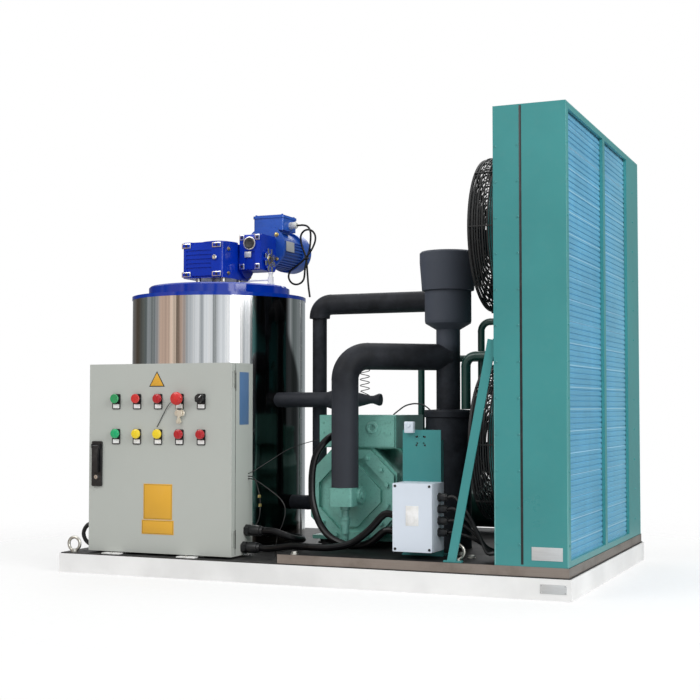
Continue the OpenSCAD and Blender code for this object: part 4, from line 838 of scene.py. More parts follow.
@dataclass(frozen=True)
class Palette:
    """Every finish on the machine."""

    skid: Finish = Paint("white_skid", srgb(243, 243, 242), 0.4, dust=0.1, chips=0.25, peel=0.06)
    deck: Finish = Paint("black_deck", srgb(22, 22, 23), 0.6, dust=0.2, peel=0.2, peel_scale=220.0)
    tray: Finish = TraySheet("tray_sheet", srgb(158, 148, 140), 0.36, (12.0, 500.0, 500.0), 0.08, 0.5,
                             (0.12, 0.095, 0.075), top=srgb(20, 20, 21))
    zinc: Finish = Metal("zinc", srgb(196, 194, 186), 0.3, (160.0, 160.0, 160.0), 0.1, 0.2)
    bright: Finish = Metal("machined_face", srgb(214, 215, 214), 0.24, (400.0, 40.0, 40.0), 0.1, 0.08)
    brass: Finish = Metal("yellow_zinc", srgb(206, 186, 120), 0.3, (160.0, 160.0, 160.0), 0.1, 0.15)
    jacket: Finish = MirrorJacket("drum_jacket")
    stainless: Finish = Metal("satin_stainless", srgb(190, 191, 190), 0.3, (60.0, 60.0, 700.0), 0.1, 0.1)
    foam: Finish = Sleeve("drum_foam", srgb(196, 178, 122), 0.8)
    lid: Finish = Paint("blue_lid", srgb(3, 52, 164), 0.2, 1.0, 0.05, 0.02, 240.0, 0.02, gloss=1.6,
                        sheen=0.0)
    gear: Finish = CastPaint("blue_gearbox", srgb(4, 54, 180), 0.32, 0.3, 0.08, dust=0.06, pebble=0.25,
                             sheen=0.15)
    motor: Finish = CastPaint("blue_motor", srgb(18, 84, 184), 0.36, 0.25, 0.08, dust=0.12, pebble=0.3)
    lead: Finish = Plastic("lead_rubber", srgb(14, 15, 17), 0.42, dust=0.03, sheen=0.3)
    key: Finish = Metal("key_metal", srgb(232, 224, 206), 0.3, (160.0, 160.0, 160.0), 0.08, 0.1,
                        metallic=0.4)
    gland: Finish = GlandPlastic("gland_moulding", srgb(26, 27, 29), 0.38, dust=0.08,
                                 upper=srgb(228, 228, 222))
    conduit: Finish = Plastic("black_conduit", srgb(9, 9, 11), 0.3, 0.04, dust=0.01, sheen=0.2)
    rubber: Finish = Plastic("black_rubber", srgb(28, 28, 29), 0.6, dust=0.2)
    black: Finish = Plastic("black_moulding", srgb(26, 27, 29), 0.38, dust=0.08)
    white: Finish = Plastic("white_moulding", srgb(244, 244, 240), 0.36, dust=0.03)
    cabinet: Finish = CabinetPaint("grey_cabinet", srgb(186, 190, 184), 0.42, cloud=0.02, peel=0.12,
                                   peel_scale=1500.0, dust=0.12, foot=srgb(232, 232, 228))
    gears: Finish = SwitchGear("switch_gear")
    lens: Finish = LampLens("lamp_lens", srgb(164, 20, 30), srgb(224, 196, 36), srgb(10, 158, 100))
    green: Finish = Plastic("green_button", srgb(34, 160, 96), 0.25, 0.4, 0.04, 0.04)
    red: Finish = Plastic("red_button", srgb(206, 44, 42), 0.28, 0.35, 0.04, 0.04)
    compressor: Finish = CastPaint("green_casting", srgb(130, 197, 184), 0.36, 0.2, 0.09, dust=0.16,
                                   pebble=0.4)
    # The valve's green is a darker copy of the compressor's: painted shade.
    valve: Finish = CastPaint("green_valve", srgb(108, 166, 155), 0.36, 0.2, 0.09, dust=0.12, pebble=0.4)
    # The sleeve's foot and the separator's head carry painted light.
    sleeve: Finish = Sleeve("black_sleeve", srgb(35, 37, 42), 0.6, painted_light_foot=0.8)
    vessel: Finish = Sleeve("separator_sleeve", srgb(41, 44, 50), 0.6, painted_light_head=0.9)
    pipe: Finish = Paint("green_pipe", srgb(30, 76, 68), 0.36, 0.2, 0.08, dust=0.12)
    case: Finish = Paint("teal_case", srgb(62, 145, 145), 0.3, 0.25, 0.035, 0.05, 300.0, 0.08)
    # A lighter copy of the case's teal for the rolled edges: painted highlight.
    rim: Finish = Paint("teal_rim", srgb(140, 196, 192), 0.3, 0.25, 0.035, 0.05, 300.0, 0.04)
    fins: Finish = FinPack("blue_fins", srgb(110, 181, 215))
    wire: Finish = Paint("black_wire", srgb(18, 19, 20), 0.6, dust=0.04)
    fan: Finish = Paint("black_fan", srgb(20, 21, 22), 0.55, dust=0.08)
    box: Finish = Paint("pale_box", srgb(222, 231, 242), 0.4, 0.0, 0.02, 0.08, 900.0, 0.06)
    yellow: Finish = Paint("yellow_plate", srgb(228, 172, 52), 0.42, 0.0, 0.03, 0.03, 900.0, 0.08)
    bronze: Finish = Paint("plate_border", srgb(120, 88, 24), 0.42, 0.0, 0.03, 0.03, 900.0, 0.05)
    blue: Finish = Paint("blue_plate", srgb(86, 120, 162), 0.4, 0.0, 0.04, 0.03, 900.0, 0.06)
    plate: Finish = Metal("bare_plate", srgb(206, 208, 209), 0.4, (30.0, 500.0, 500.0), 0.06, 0.08,
                          metallic=0.35)


FINISH = Palette()


class Form:
    """A mesh in the making, in millimetres, with the operators that shape it."""

    def __init__(self) -> None:
        """Start empty."""
        self.bm = bmesh.new()

    @classmethod
    def block(cls, size: Triple, bevel: float = 0.0, segments: int = 2) -> "Form":
        """Make a block with rounded edges.

        Args:
            size: Its three sides.
            bevel: How far the edges are rounded.
            segments: Facets in each rounded edge.

        Returns:
            The block, centred.
        """
        form = cls()
        bmesh.ops.create_cube(form.bm, size=1.0)
        bmesh.ops.scale(form.bm, vec=Vector(size), verts=form.bm.verts[:])
        return form.rounded(bevel, segments)

    @classmethod
    def turned(cls, profile: Sequence[Pair], steps: int = 32) -> "Form":
        """Spin a profile about Z.

        Args:
            profile: Radius and height of each point.
            steps: Facets round the axis.

        Returns:
            The turned shape.
        """
        form = cls()
        line = [form.bm.verts.new((radius, 0.0, height)) for radius, height in profile]
        edges = [form.bm.edges.new(pair) for pair in zip(line, line[1:])]
        bmesh.ops.spin(form.bm, geom=line + edges, cent=(0, 0, 0), axis=(0, 0, 1), dvec=(0, 0, 0),
                       angle=math.tau, steps=steps, use_merge=True, use_duplicate=False)
        return form.closed()

    @classmethod
    def prism(cls, outline: Sequence[Pair], height: float, bevel: float = 0.0) -> "Form":
        """Extrude a flat outline along Z.

        Args:
            outline: The corners in order.
            height: How far it is extruded.
            bevel: How far the edges are rounded.

        Returns:
            The prism, standing on Z = 0.
        """
        form = cls()
        face = form.bm.faces.new([form.bm.verts.new((x, y, 0.0)) for x, y in outline])
        raised = bmesh.ops.extrude_face_region(form.bm, geom=[face])["geom"]
        upper = [v for v in raised if isinstance(v, bmesh.types.BMVert)]
        bmesh.ops.translate(form.bm, vec=(0, 0, height), verts=upper)
        form.closed()
        return form.rounded(bevel, 2)

    @classmethod
    def wire(cls, points: Iterable[Sequence[float]], radius: float, closed: bool = False) -> "Form":
        """Sweep a round wire along points.

        Args:
            points: The points that it follows.
            radius: Its radius.
            closed: Whether it is a loop.

        Returns:
            The wire.
        """
        curve = swept_curve("wire_path", [Vector(p) for p in points], radius, 2, closed)
        swept = bpy.data.objects.new("wire_path", curve)
        bpy.context.scene.collection.objects.link(swept)
        view = bpy.context.evaluated_depsgraph_get()
        mesh = bpy.data.meshes.new_from_object(swept.evaluated_get(view))
        form = cls()
        form.bm.from_mesh(mesh)
        bpy.data.objects.remove(swept)
        bpy.data.curves.remove(curve)
        bpy.data.meshes.remove(mesh)
        return form.closed()

    @classmethod
    def hose(cls, route: Sequence[Triple], radius: float, steps: int = 5) -> "Form":
        """Sweep a round wire along a smooth curve through points.

        Args:
            route: The points.
            radius: The wire's radius.
            steps: Short straight pieces between each two points.

        Returns:
            The wire.
        """
        return cls.wire(smooth_route(route, steps), radius)

    @classmethod
    def bolt(cls, across: float, head: float, washer: float = 1.6) -> "Form":
        """Make a hexagon bolt's head on its washer.

        Args:
            across: Width across the corners.
            head: Height of the head.
            washer: Thickness of the washer.

        Returns:
            The head, standing on Z = 0.
        """
        ring = across * 0.66
        form = cls.turned([(0, 0), (ring, 0), (ring, washer * 0.7), (ring - 0.4, washer), (0, washer)], 20)
        crown = cls()
        bmesh.ops.create_cone(crown.bm, cap_ends=True, segments=6, radius1=across / 2, radius2=across / 2,
                              depth=head)
        bmesh.ops.translate(crown.bm, vec=(0, 0, washer + head / 2), verts=crown.bm.verts[:])
        top = [e for e in crown.bm.edges if all(v.co.z > washer + head * 0.9 for v in e.verts)]
        bmesh.ops.bevel(crown.bm, geom=top, offset=across * 0.07, affect="EDGES", segments=2, profile=0.5,
                        material=-1)
        return form.add(crown)

    @classmethod
    def screw(cls, radius: float, head: float) -> "Form":
        """Make a round screw head with a socket.

        Args:
            radius: Radius of the head.
            head: Its height.

        Returns:
            The head, standing on Z = 0.
        """
        socket = radius * 0.42
        rim = [(radius, 0), (radius, head * 0.55), (radius * 0.82, head * 0.92), (radius * 0.6, head)]
        return cls.turned([(0, 0), *rim, (socket, head), (socket * 0.9, head * 0.5), (0, head * 0.5)], 16)

    def rounded(self, bevel: float, segments: int) -> "Form":
        """Round every edge.

        Args:
            bevel: How far the edges are rounded.
            segments: Facets in each rounded edge.

        Returns:
            The same shape.
        """
        if bevel > 0.0:
            bmesh.ops.bevel(self.bm, geom=self.bm.edges[:], offset=bevel, affect="EDGES", segments=segments,
                            profile=0.5, material=-1, clamp_overlap=True)
        return self

    def closed(self) -> "Form":
        """Merge doubles and turn the faces outwards.

        Returns:
            The same shape.
        """
        bmesh.ops.remove_doubles(self.bm, verts=self.bm.verts[:], dist=0.0005)
        bmesh.ops.dissolve_degenerate(self.bm, edges=self.bm.edges[:], dist=0.0005)
        bmesh.ops.recalc_face_normals(self.bm, faces=self.bm.faces[:])
        return self

    def at(self, x: float, y: float, z: float, facing: Facing = Facing.UP, twist: float = 0.0) -> "Form":
        """Put the shape in its place.

        Args:
            x: Place along X.
            y: Place along Y.
            z: Place along Z.
            facing: The way that its +Z looks.
            twist: Turn about its own axis first, in degrees.

        Returns:
            The same shape.
        """
        turn = facing.matrix() @ Matrix.Rotation(math.radians(twist), 4, "Z")
        return self.moved(Matrix.Translation((x, y, z)) @ turn)

    def moved(self, matrix: Matrix) -> "Form":
        """Move the shape by a matrix."""
        bmesh.ops.transform(self.bm, matrix=matrix, verts=self.bm.verts[:])
        return self

    def add(self, other: "Form") -> "Form":
        """Take another shape into this one.

        Args:
            other: The shape, which is used up.

        Returns:
            This shape.
        """
        mesh = bpy.data.meshes.new("joined")
        other.bm.to_mesh(mesh)
        other.bm.free()
        self.bm.from_mesh(mesh)
        bpy.data.meshes.remove(mesh)
        return self

    def copies(self, places: Iterable[Matrix]) -> "Form":
        """Make copies of the shape.

        Args:
            places: One matrix for each copy.

        Returns:
            A new shape that holds all the copies.
        """
        many = Form()
        mesh = bpy.data.meshes.new("master")
        self.bm.to_mesh(mesh)
        for place in places:
            copy = bmesh.new()
            copy.from_mesh(mesh)
            bmesh.ops.transform(copy, matrix=place, verts=copy.verts[:])
            shape = Form()
            shape.bm.free()
            shape.bm = copy
            many.add(shape)
        bpy.data.meshes.remove(mesh)
        self.bm.free()
        return many


def set_at(x: float, y: float, z: float, facing: Facing = Facing.UP) -> Matrix:
    """Return the matrix that puts a fitting at a place, facing a way."""
    return Matrix.Translation((x, y, z)) @ facing.matrix()


def ring_of(centre: Triple, radius: float, count: int, start: float = 0.0,
            facing: Facing = Facing.UP) -> list[Matrix]:
    """Lay fittings out on a circle.

    Args:
        centre: Middle of the circle.
        radius: Its radius.
        count: Number of fittings.
        start: Angle of the first, in degrees.
        facing: The way that they look; the circle lies square to it.

    Returns:
        One matrix for each fitting.
    """
    base = Matrix.Translation(centre) @ facing.matrix()
    turns = [math.radians(start) + angle for angle in round_angles(count)]
    return [base @ Matrix.Translation((radius * math.cos(t), radius * math.sin(t), 0)) for t in turns]


@dataclass
class Assembly:
    """What every sub-assembly shares: the frame and the ways to dress nodes and add pieces."""

    frame: dict[str, Any]

    def dress(self, finish: Finish, *nodes: str) -> None:
        """Give CAD nodes a finish.

        Args:
            finish: The finish.
            nodes: Names of the nodes.
        """
        for name in nodes:
            node = self.frame["nodes"][name]
            if not node.material_slots:
                node.data.materials.append(finish.material())
            for place in node.material_slots:
                place.material = finish.material()

    def piece(self, name: str, form: Form, finish: Finish, slot: str,
              body: str = MACHINE) -> bpy.types.Object:
        """Finish a shape as a piece of the machine.

        Args:
            name: The piece's name.
            form: Its shape, in millimetres.
            finish: Its finish.
            slot: The record's material slot; not used.
            body: The body that it rides on.

        Returns:
            The new object.
        """
        bmesh.ops.scale(form.bm, vec=(MM, MM, MM), verts=form.bm.verts[:])
        mesh = bpy.data.meshes.new(name)
        form.bm.to_mesh(mesh)
        form.bm.free()
        mesh.shade_smooth()
        mesh.set_sharp_from_angle(angle=SHARP_EDGE)
        mesh.materials.append(finish.material())
        made = bpy.data.objects.new(name, mesh)
        bpy.context.scene.collection.objects.link(made)
        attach(made, body)
        LOG.info("piece %s on %s: %d faces", name, body, len(mesh.polygons))
        return made


@dataclass
class Studio:
    """Camera, floor, lamps and the white room."""

    eye: Triple = (1.68071, -4.06513, 0.53605)
    yaw: float = 23.02
    tilt: float = 2.46
    lens: float = 66.83
    sensor: float = 36.0
    floor_radius: float = 9.0
    shadow_reach: Pair = (1.0, 2.4)
    diffuse_level: float = 0.48
    aim: Triple = (0.0, 0.0, 0.5)
    lamps: tuple[tuple[str, Triple, float, float], ...] = (
        ("key", (-2.6, -4.2, 4.4), 3.0, 122.0), ("fill", (4.4, -2.0, 2.8), 3.0, 176.0),
        ("top", (0.0, 1.2, 4.6), 3.4, 44.0), ("rear", (-2.0, 4.4, 3.0), 3.0, 55.0))

    def build(self) -> None:
        """Set up the whole studio."""
        scene = bpy.context.scene
        scene.view_settings.view_transform = "Standard"
        self.add_camera(scene)
        self.add_room(scene)
        self.add_floor(scene)
        self.add_lamps(scene)

    def add_camera(self, scene: bpy.types.Scene) -> None:
        """Put the camera at the photograph's place.

        Args:
            scene: The scene that gets the camera.
        """
        data = bpy.data.cameras.new("photo_camera")
        data.lens = self.lens
        data.sensor_width = self.sensor
        data.clip_end = 100.0
        camera = bpy.data.objects.new("photo_camera", data)
        camera.location = self.eye
        camera.rotation_euler = (math.radians(90.0 + self.tilt), 0.0, math.radians(self.yaw))
        scene.collection.objects.link(camera)
        scene.camera = camera

    def add_room(self, scene: bpy.types.Scene) -> None:
        """Make a white room with a few dark flags that only reflections see.

        Args:
            scene: The scene that gets the room.
        """
        world = bpy.data.worlds.new("white_room")
        world.use_nodes = True
        graph = Graph(world.node_tree)
        way = graph.node("TexCoord", {}, {}, "Generated")
        across, deep = graph.axis(way, Axis.X), graph.axis(way, Axis.Y)
        turn = across.math("ARCTAN2", across, deep) / math.tau + 0.5
        white, pale = srgb(255, 255, 255), srgb(226, 231, 235)
        grey, slate, dark = srgb(150, 156, 160), srgb(94, 102, 102), srgb(22, 22, 22)
        warm, tan, brown = srgb(246, 224, 204), srgb(190, 166, 150), srgb(70, 60, 49)
        flare = (4.0, 4.0, 4.0)
        stops = [(0.0, pale), (0.045, grey), (0.06, tan), (0.077, brown), (0.094, warm), (0.112, tan),
                 (0.15, tan), (0.175, grey), (0.192, slate), (0.215, grey), (0.235, slate), (0.3, brown),
                 (0.46, grey), (0.6, slate), (0.632, grey), (0.65, dark), (0.785, dark), (0.805, slate),
                 (0.818, pale), (0.831, grey), (0.85, white), (0.858, flare), (0.876, flare), (0.884, pale),
                 (0.905, pale), (0.926, pale), (0.938, slate), (0.95, pale), (0.968, pale), (0.985, grey),
                 (1.0, pale)]
        flags = graph.node("ValToRGB", {"stops": stops}, {0: turn})
        height = graph.axis(way, Axis.Z)
        flags = graph.blend(graph.band(height, 0.35, 0.6), flags, white)
        light = graph.node("LightPath", {}, {}, "Is Camera Ray")
        glossy = light.of("Is Glossy Ray")
        seen = graph.blend(glossy, (1.0, 1.0, 1.0), flags)
        level = light + glossy + light.of("Is Transmission Ray")
        level = graph.band(level, 0.0, 1.0) * (1.0 - self.diffuse_level) + self.diffuse_level
        shader = graph.node("Background", {}, {"Color": seen, "Strength": level})
        graph.node("OutputWorld", {}, {"Surface": shader})
        scene.world = world

    def add_floor(self, scene: bpy.types.Scene) -> None:
        """Lay a pale floor that fades into the white room.

        Args:
            scene: The scene that gets the floor.
        """
        disc = bmesh.new()
        bmesh.ops.create_circle(disc, cap_ends=True, segments=96, radius=self.floor_radius)
        mesh = bpy.data.meshes.new("studio_floor")
        disc.to_mesh(mesh)
        disc.free()
        floor = bpy.data.objects.new("studio_floor", mesh)
        scene.collection.objects.link(floor)
        material = bpy.data.materials.new("studio_floor")
        material.use_nodes = True
        graph = Graph(material.node_tree)
        where = graph.place()
        far = graph.node("VectorMath", {"operation": "LENGTH"}, {0: where}, "Value")
        grain = graph.noise(where, 40.0, 3.0)
        shade = graph.blend(grain, (0.88, 0.88, 0.88), (0.92, 0.92, 0.92))
        pale = graph.node("BsdfDiffuse", {}, {"Color": shade})
        clear = graph.node("BsdfTransparent", {}, {})
        share = graph.band(far, *self.shadow_reach) * 0.45 + 0.55
        both = graph.node("MixShader", {}, {0: share, 1: pale, 2: clear})
        graph.node("OutputMaterial", {}, {"Surface": both})
        mesh.materials.append(material)

    def add_lamps(self, scene: bpy.types.Scene) -> None:
        """Hang four soft lamps.

        Args:
            scene: The scene that gets the lamps.
        """
        for name, place, size, power in self.lamps:
            data = bpy.data.lights.new(name + "_lamp", "AREA")
            data.size = size
            data.energy = power
            lamp = bpy.data.objects.new(name + "_lamp", data)
            lamp.location = place
            way = Vector(self.aim) - Vector(place)
            lamp.rotation_euler = way.to_track_quat("-Z", "Y").to_euler()
            scene.collection.objects.link(lamp)


@dataclass
class MotorLead(Assembly):
    """The motor's tied lead, a free cord that hangs in a loop beside the drum's lid."""

    radius: float = 3.5
    steps: int = 6
    facets: int = 4
    tie: Triple = (-282.5, 152.0, 1063.0)
    tie_reach: Triple = (8.2, 13.8, 2.0)
    tie_radius: float = 1.3
    head_size: Triple = (6.0, 5.0, 4.5)
    head_shift: Triple = (9.0, -6.0, 2.0)
    tail_radius: float = 0.9
    tail_shifts: Route = ((10.0, -7.0, 2.0), (16.0, -9.0, 3.0), (23.0, -10.0, 1.0))
    route: Route = (
        (-319, 152, 1186), (-307, 152, 1186), (-295, 152, 1186), (-280, 152, 1182), (-269, 152, 1171),
        (-265, 152, 1156), (-265, 152, 1130), (-269, 152, 1098), (-279, 152, 1064), (-286, 151, 1030),
        (-288, 150, 1002), (-292, 149, 987), (-303, 148, 976), (-318, 147, 972), (-333, 146, 976),
        (-344, 145, 987), (-348, 144, 1002), (-344, 144, 1017), (-333, 144, 1028), (-308, 144, 1044),
        (-283, 144, 1064), (-260, 143, 1089), (-245, 142, 1116), (-241, 142, 1136), (-245, 142, 1151),
        (-256, 142, 1163), (-272, 142, 1167), (-287, 143, 1163), (-299, 146, 1151), (-303, 150, 1136),
        (-301, 155, 1112), (-292, 159, 1086), (-285, 160, 1060), (-281, 160, 1015), (-277, 160, 968),
        (-271, 160, 926))

    def build(self) -> None:
        """Make the cord and its tie."""
        line = [p * MM for p in smooth_route(self.route, self.steps)]
        curve = swept_curve("motor_cord", line, self.radius * MM, self.facets)
        curve.materials.append(FINISH.lead.material())
        cord = bpy.data.objects.new("motor_cord", curve)
        bpy.context.scene.collection.objects.link(cord)
        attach(cord, MACHINE)
        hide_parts("motor_lead")
        length = sum((b - a).length for a, b in zip(line, line[1:]))
        tie = self.build_tie()
        LOG.info("cord motor_cord: %.3f m", length)

    def build_tie(self) -> bpy.types.Object:
        """Make the nylon tie round the three runs of the cord.

        Returns:
            The tie.
        """
        x, y, z = self.tie
        wide, deep, lean = self.tie_reach
        around = [(x + wide * math.cos(t), y + deep * math.sin(t), z + lean * math.cos(t))
                  for t in round_angles(28)]
        tie = Form.wire(around, self.tie_radius, True)
        middle = Vector(self.tie)
        tie.add(Form.block(self.head_size, 0.8).at(*(middle + Vector(self.head_shift))))
        tie.add(Form.wire([middle + Vector(shift) for shift in self.tail_shifts], self.tail_radius))
        return self.piece("lead_tie", tie, FINISH.black, "black_plastic")


@dataclass
class Base(Assembly):
    """Skid, deck, tray and lifting eyes."""

    deck_top: float = 63.0
    tray_top: float = 90.0
    skid_front: float = -540.0
    bolt: Triple = (19.0, 7.0, 2.0)
    deck_bolts: tuple[Pair, ...] = ((-120, 492), (-780, -300), (-780, 300), (-300, 490))
    tray_bolts: tuple[Pair, ...] = ((-9, -515), (458, -335), (510, -398), (-9, 505), (560, 480))
    plate_middle: Pair = (789.5, 32.0)
    plate_size: Triple = (75.0, 0.8, 26.0)
    rivet: Pair = (1.8, 1.0)
    rivet_reach: Pair = (34.0, 9.5)

    def build(self) -> None:
        """Dress the base and add its bolts and bare plate."""
        self.dress(FINISH.skid, "skid_frame")
        self.dress(FINISH.deck, "deck_plate")
        self.dress(FINISH.tray, "unit_tray")
        self.dress(FINISH.zinc, "lifting_eyes")
        self.add_bolts()
        self.add_plate()

    def add_bolts(self) -> None:
        """Add the bolts that hold the deck and the tray."""
        places = [set_at(x, y, self.deck_top) for x, y in self.deck_bolts]
        places += [set_at(x, y, self.tray_top) for x, y in self.tray_bolts]
        bolts = Form.bolt(*self.bolt).copies(places)
        self.piece("base_bolts", bolts, FINISH.zinc, "zinc")

    def add_plate(self) -> None:
        """Add the bare plate on the skid's front, held by four rivets."""
        x, z = self.plate_middle
        thick = self.plate_size[1]
        plate = Form.block(self.plate_size, 0.3).at(x, self.skid_front - thick / 2, z)
        self.piece("skid_plate", plate, FINISH.plate, "zinc")
        wide, tall = self.rivet_reach
        rivets = Form.screw(*self.rivet).copies(
            set_at(x + sx * wide, self.skid_front - thick, z + sz * tall, Facing.FRONT)
            for sx in (-1, 1) for sz in (-1, 1))
        self.piece("skid_plate_rivets", rivets, FINISH.bright, "zinc")


@dataclass
class IceDrum(Assembly):
    """Drum, lid, scraper and the trough under it."""

    axis: Pair = (-518.0, -60.0)
    jacket_radius: float = 300.0
    flange_top: float = 912.0
    lid_top: float = 948.0
    screw: Pair = (4.6, 1.6)
    flange_circle: float = 270.0
    flange_bolts: int = 16
    flange_start: float = 11.0
    lid_circle: float = 222.0
    lid_bolts: int = 12
    lid_start: float = 15.0
    seal_circle: float = 246.5
    seal_radius: float = 1.6
    seam_turn: float = 98.0
    seam_size: Triple = (22.0, 0.8, 833.0)
    seam_middle: float = 481.5
    rivet: Pair = (2.6, 1.4)
    first_rivet: float = 90.0
    rivet_pitch: float = 50.0
    rivet_count: int = 17

    def build(self) -> None:
        """Dress the drum and add its bolts, seal and seam."""
        self.dress(FINISH.jacket, "drum_shell")
        self.dress(FINISH.foam, "drum_insulation")
        self.dress(FINISH.stainless, "evaporator_cylinder", "bottom_spider", "spindle", "ice_blade",
                   "water_tray")
        self.dress(FINISH.rubber, "squeegee")
        self.dress(FINISH.lid, "drum_top_flange", "drum_lid")
        self.add_bolts()
        self.add_seal()
        self.add_seam()

    def add_bolts(self) -> None:
        """Add the painted bolts of the ring flange and the lid."""
        flange = ring_of((*self.axis, self.flange_top), self.flange_circle, self.flange_bolts,
                         self.flange_start)
        self.piece("flange_bolts", Form.screw(*self.screw).copies(flange), FINISH.lid, "lid_blue")
        lid = ring_of((*self.axis, self.lid_top), self.lid_circle, self.lid_bolts, self.lid_start)
        self.piece("lid_bolts", Form.screw(*self.screw).copies(lid), FINISH.lid, "lid_blue")

    def add_seal(self) -> None:
        """Add the bead of rubber round the lid's foot."""
        x, y = self.axis
        bead = [(x + self.seal_circle * math.cos(t), y + self.seal_circle * math.sin(t),
                 self.flange_top + self.seal_radius / 2) for t in round_angles(96)]
        self.piece("lid_seal", Form.wire(bead, self.seal_radius, True), FINISH.black, "black_rubber")

    def add_seam(self) -> None:
        """Add the jacket's lapped upright seam and its small rivets."""
        turn = Matrix.Translation((*self.axis, 0.0)) @ Matrix.Rotation(math.radians(self.seam_turn), 4, "Z")
        lap = Form.block(self.seam_size, 0.3).at(0.0, -self.jacket_radius, self.seam_middle)
        self.piece("jacket_seam", lap.moved(turn), FINISH.stainless, "stainless")
        outside = -self.jacket_radius - self.seam_size[1] / 2
        heights = [self.first_rivet + self.rivet_pitch * i for i in range(self.rivet_count)]
        rivets = Form.screw(*self.rivet).copies(
            turn @ set_at(0.0, outside, z, Facing.FRONT) for z in heights)
        self.piece("seam_rivets", rivets, FINISH.bright, "stainless")


@dataclass
class Drive(Assembly):
    """Two worm gearboxes, the motor and the water inlet on the lid."""

    main_face: float = -152.5
    main_pad: Pair = (35.0, 17.0)
    main_pad_x: Pair = (-599.0, -480.0)
    main_pad_z: Pair = (990.0, 1090.0)
    input_face: float = -47.5
    input_pad: Pair = (19.0, 19.0)
    input_pad_x: Pair = (-437.0, -377.0)
    input_pad_z: Pair = (1022.0, 1124.0)
    pad_t: float = 0.8
    field_inset: Pair = (7.0, 6.0)
    shaft: Triple = (-357.6, 15.0, 1048.0)
    star_pad: Triple = (17.0, 13.0, 1.4)
    star_pads: int = 8
    star_circle: float = 33.0
    sight: Triple = (-488.0, -153.0, 1047.0)
    worm: Triple = (-407.0, -50.0, 1102.0)
    motor_flange: float = 75.0
    flange_circle: float = 62.0
    flange_bolt: Triple = (12.0, 5.0, 1.2)
    neck_bolt: Triple = (11.0, 5.0, 1.0)
    neck_x: float = -456.0
    neck_y: Pair = (-112.0, 46.0)
    neck_z: Pair = (994.0, 1078.0)
    terminal_top: Triple = (-407.0, 152.0, 1222.0)
    terminal_reach: Pair = (52.0, 47.0)
    terminal_screw: Pair = (3.4, 2.0)
    gearbox_plate: Triple = (-415.0, -45.4, 1064.0)
    gearbox_plate_size: Triple = (26.0, 0.8, 20.0)
    motor_plate: Triple = (-335.6, 132.0, 1107.0)
    motor_plate_size: Triple = (0.8, 66.0, 36.0)

    def build(self) -> None:
        """Dress the drive and add its machined faces, plugs and bolts."""
        self.dress(FINISH.zinc, "gearbox_pedestal")
        self.dress(FINISH.gear, "main_gearbox", "input_gearbox")
        self.dress(FINISH.motor, "drive_motor", "motor_fan_cowl", "motor_terminal_box")
        self.dress(FINISH.white, "water_inlet")
        self.add_faces()
        self.add_rosette()
        self.add_plugs()
        self.add_bolts()
        self.add_plates()

    def add_faces(self) -> None:
        """Add the bare machined faces of the gearboxes' pads, each with its tapped hole drawn as a dark
        disc, a painted shade.
        """
        faces, fields, holes = Form(), Form(), Form()
        hole = [(0, 0.3), (4.2, 0.3), (5.0, 0.0), (0, -0.4)]
        pads = [(x, self.main_face, z, *self.main_pad) for x in self.main_pad_x for z in self.main_pad_z]
        pads += [(x, self.input_face, z, *self.input_pad)
                 for x in self.input_pad_x for z in self.input_pad_z]
        for x, y, z, wide, tall in pads:
            faces.add(Form.block((wide, self.pad_t, tall), 0.3).at(x, y - self.pad_t / 2, z))
            field = (wide - self.field_inset[0], 0.5, tall - self.field_inset[1])
            fields.add(Form.block(field, 0.2).at(x, y - self.pad_t, z))
            # Painted shade: each tapped hole is a dark disc on its face.
            holes.add(Form.turned(hole, 20).at(x, y - self.pad_t - 0.2, z, Facing.FRONT))
        self.piece("machined_faces", faces, FINISH.bright, "gear_blue")
        self.piece("pad_fields", fields, FINISH.gear, "gear_blue")
        self.piece("tapped_holes", holes, FINISH.black, "black_rubber")

    def add_rosette(self) -> None:
        """Add the star of machined pads round the hollow shaft, and its bronze bush."""
        half_step = 180.0 / self.star_pads
        places = ring_of(self.shaft, self.star_circle, self.star_pads, half_step, Facing.RIGHT)
        star = Form.block(self.star_pad, 0.4).copies(places)
        ring = [(17.0, 0.0), (17.0, 1.6), (22.0, 1.6), (23.0, 0.8), (23.0, 0.0)]
        star.add(Form.turned(ring, 40).at(*self.shaft, Facing.RIGHT))
        self.piece("shaft_rosette", star, FINISH.bright, "gear_blue")
        bush = Form.turned([(9.0, -10.0), (9.0, 0.6), (13.6, 0.6), (14.6, -0.4), (14.6, -10.0)], 32)
        self.piece("shaft_bush", bush.at(*self.shaft, Facing.RIGHT), FINISH.brass, "zinc")

    def add_plugs(self) -> None:
        """Add the oil plug and the dark cap of the second worm."""
        plug = Form.turned([(0, 1.4), (3.0, 1.4), (3.4, 3.6), (7.4, 3.6), (8.6, 2.6), (8.6, 0), (0, 0)], 28)
        self.piece("sight_plug", plug.at(*self.sight, Facing.FRONT), FINISH.bright, "zinc")
        cap = Form.turned([(0, 0.5), (10, 0.5), (12, 1.3), (17, 1.3), (19, 0.4), (19, -1), (0, -1)], 36)
        self.piece("worm_cap", cap.at(*self.worm, Facing.FRONT), FINISH.rubber, "black_rubber")
        rim = Form.turned([(19.5, 0.0), (19.5, 1.0), (22.2, 1.4), (23.6, 0.8), (23.6, -2.0)], 36)
        self.piece("worm_cap_ring", rim.at(*self.worm, Facing.FRONT), FINISH.bright, "zinc")

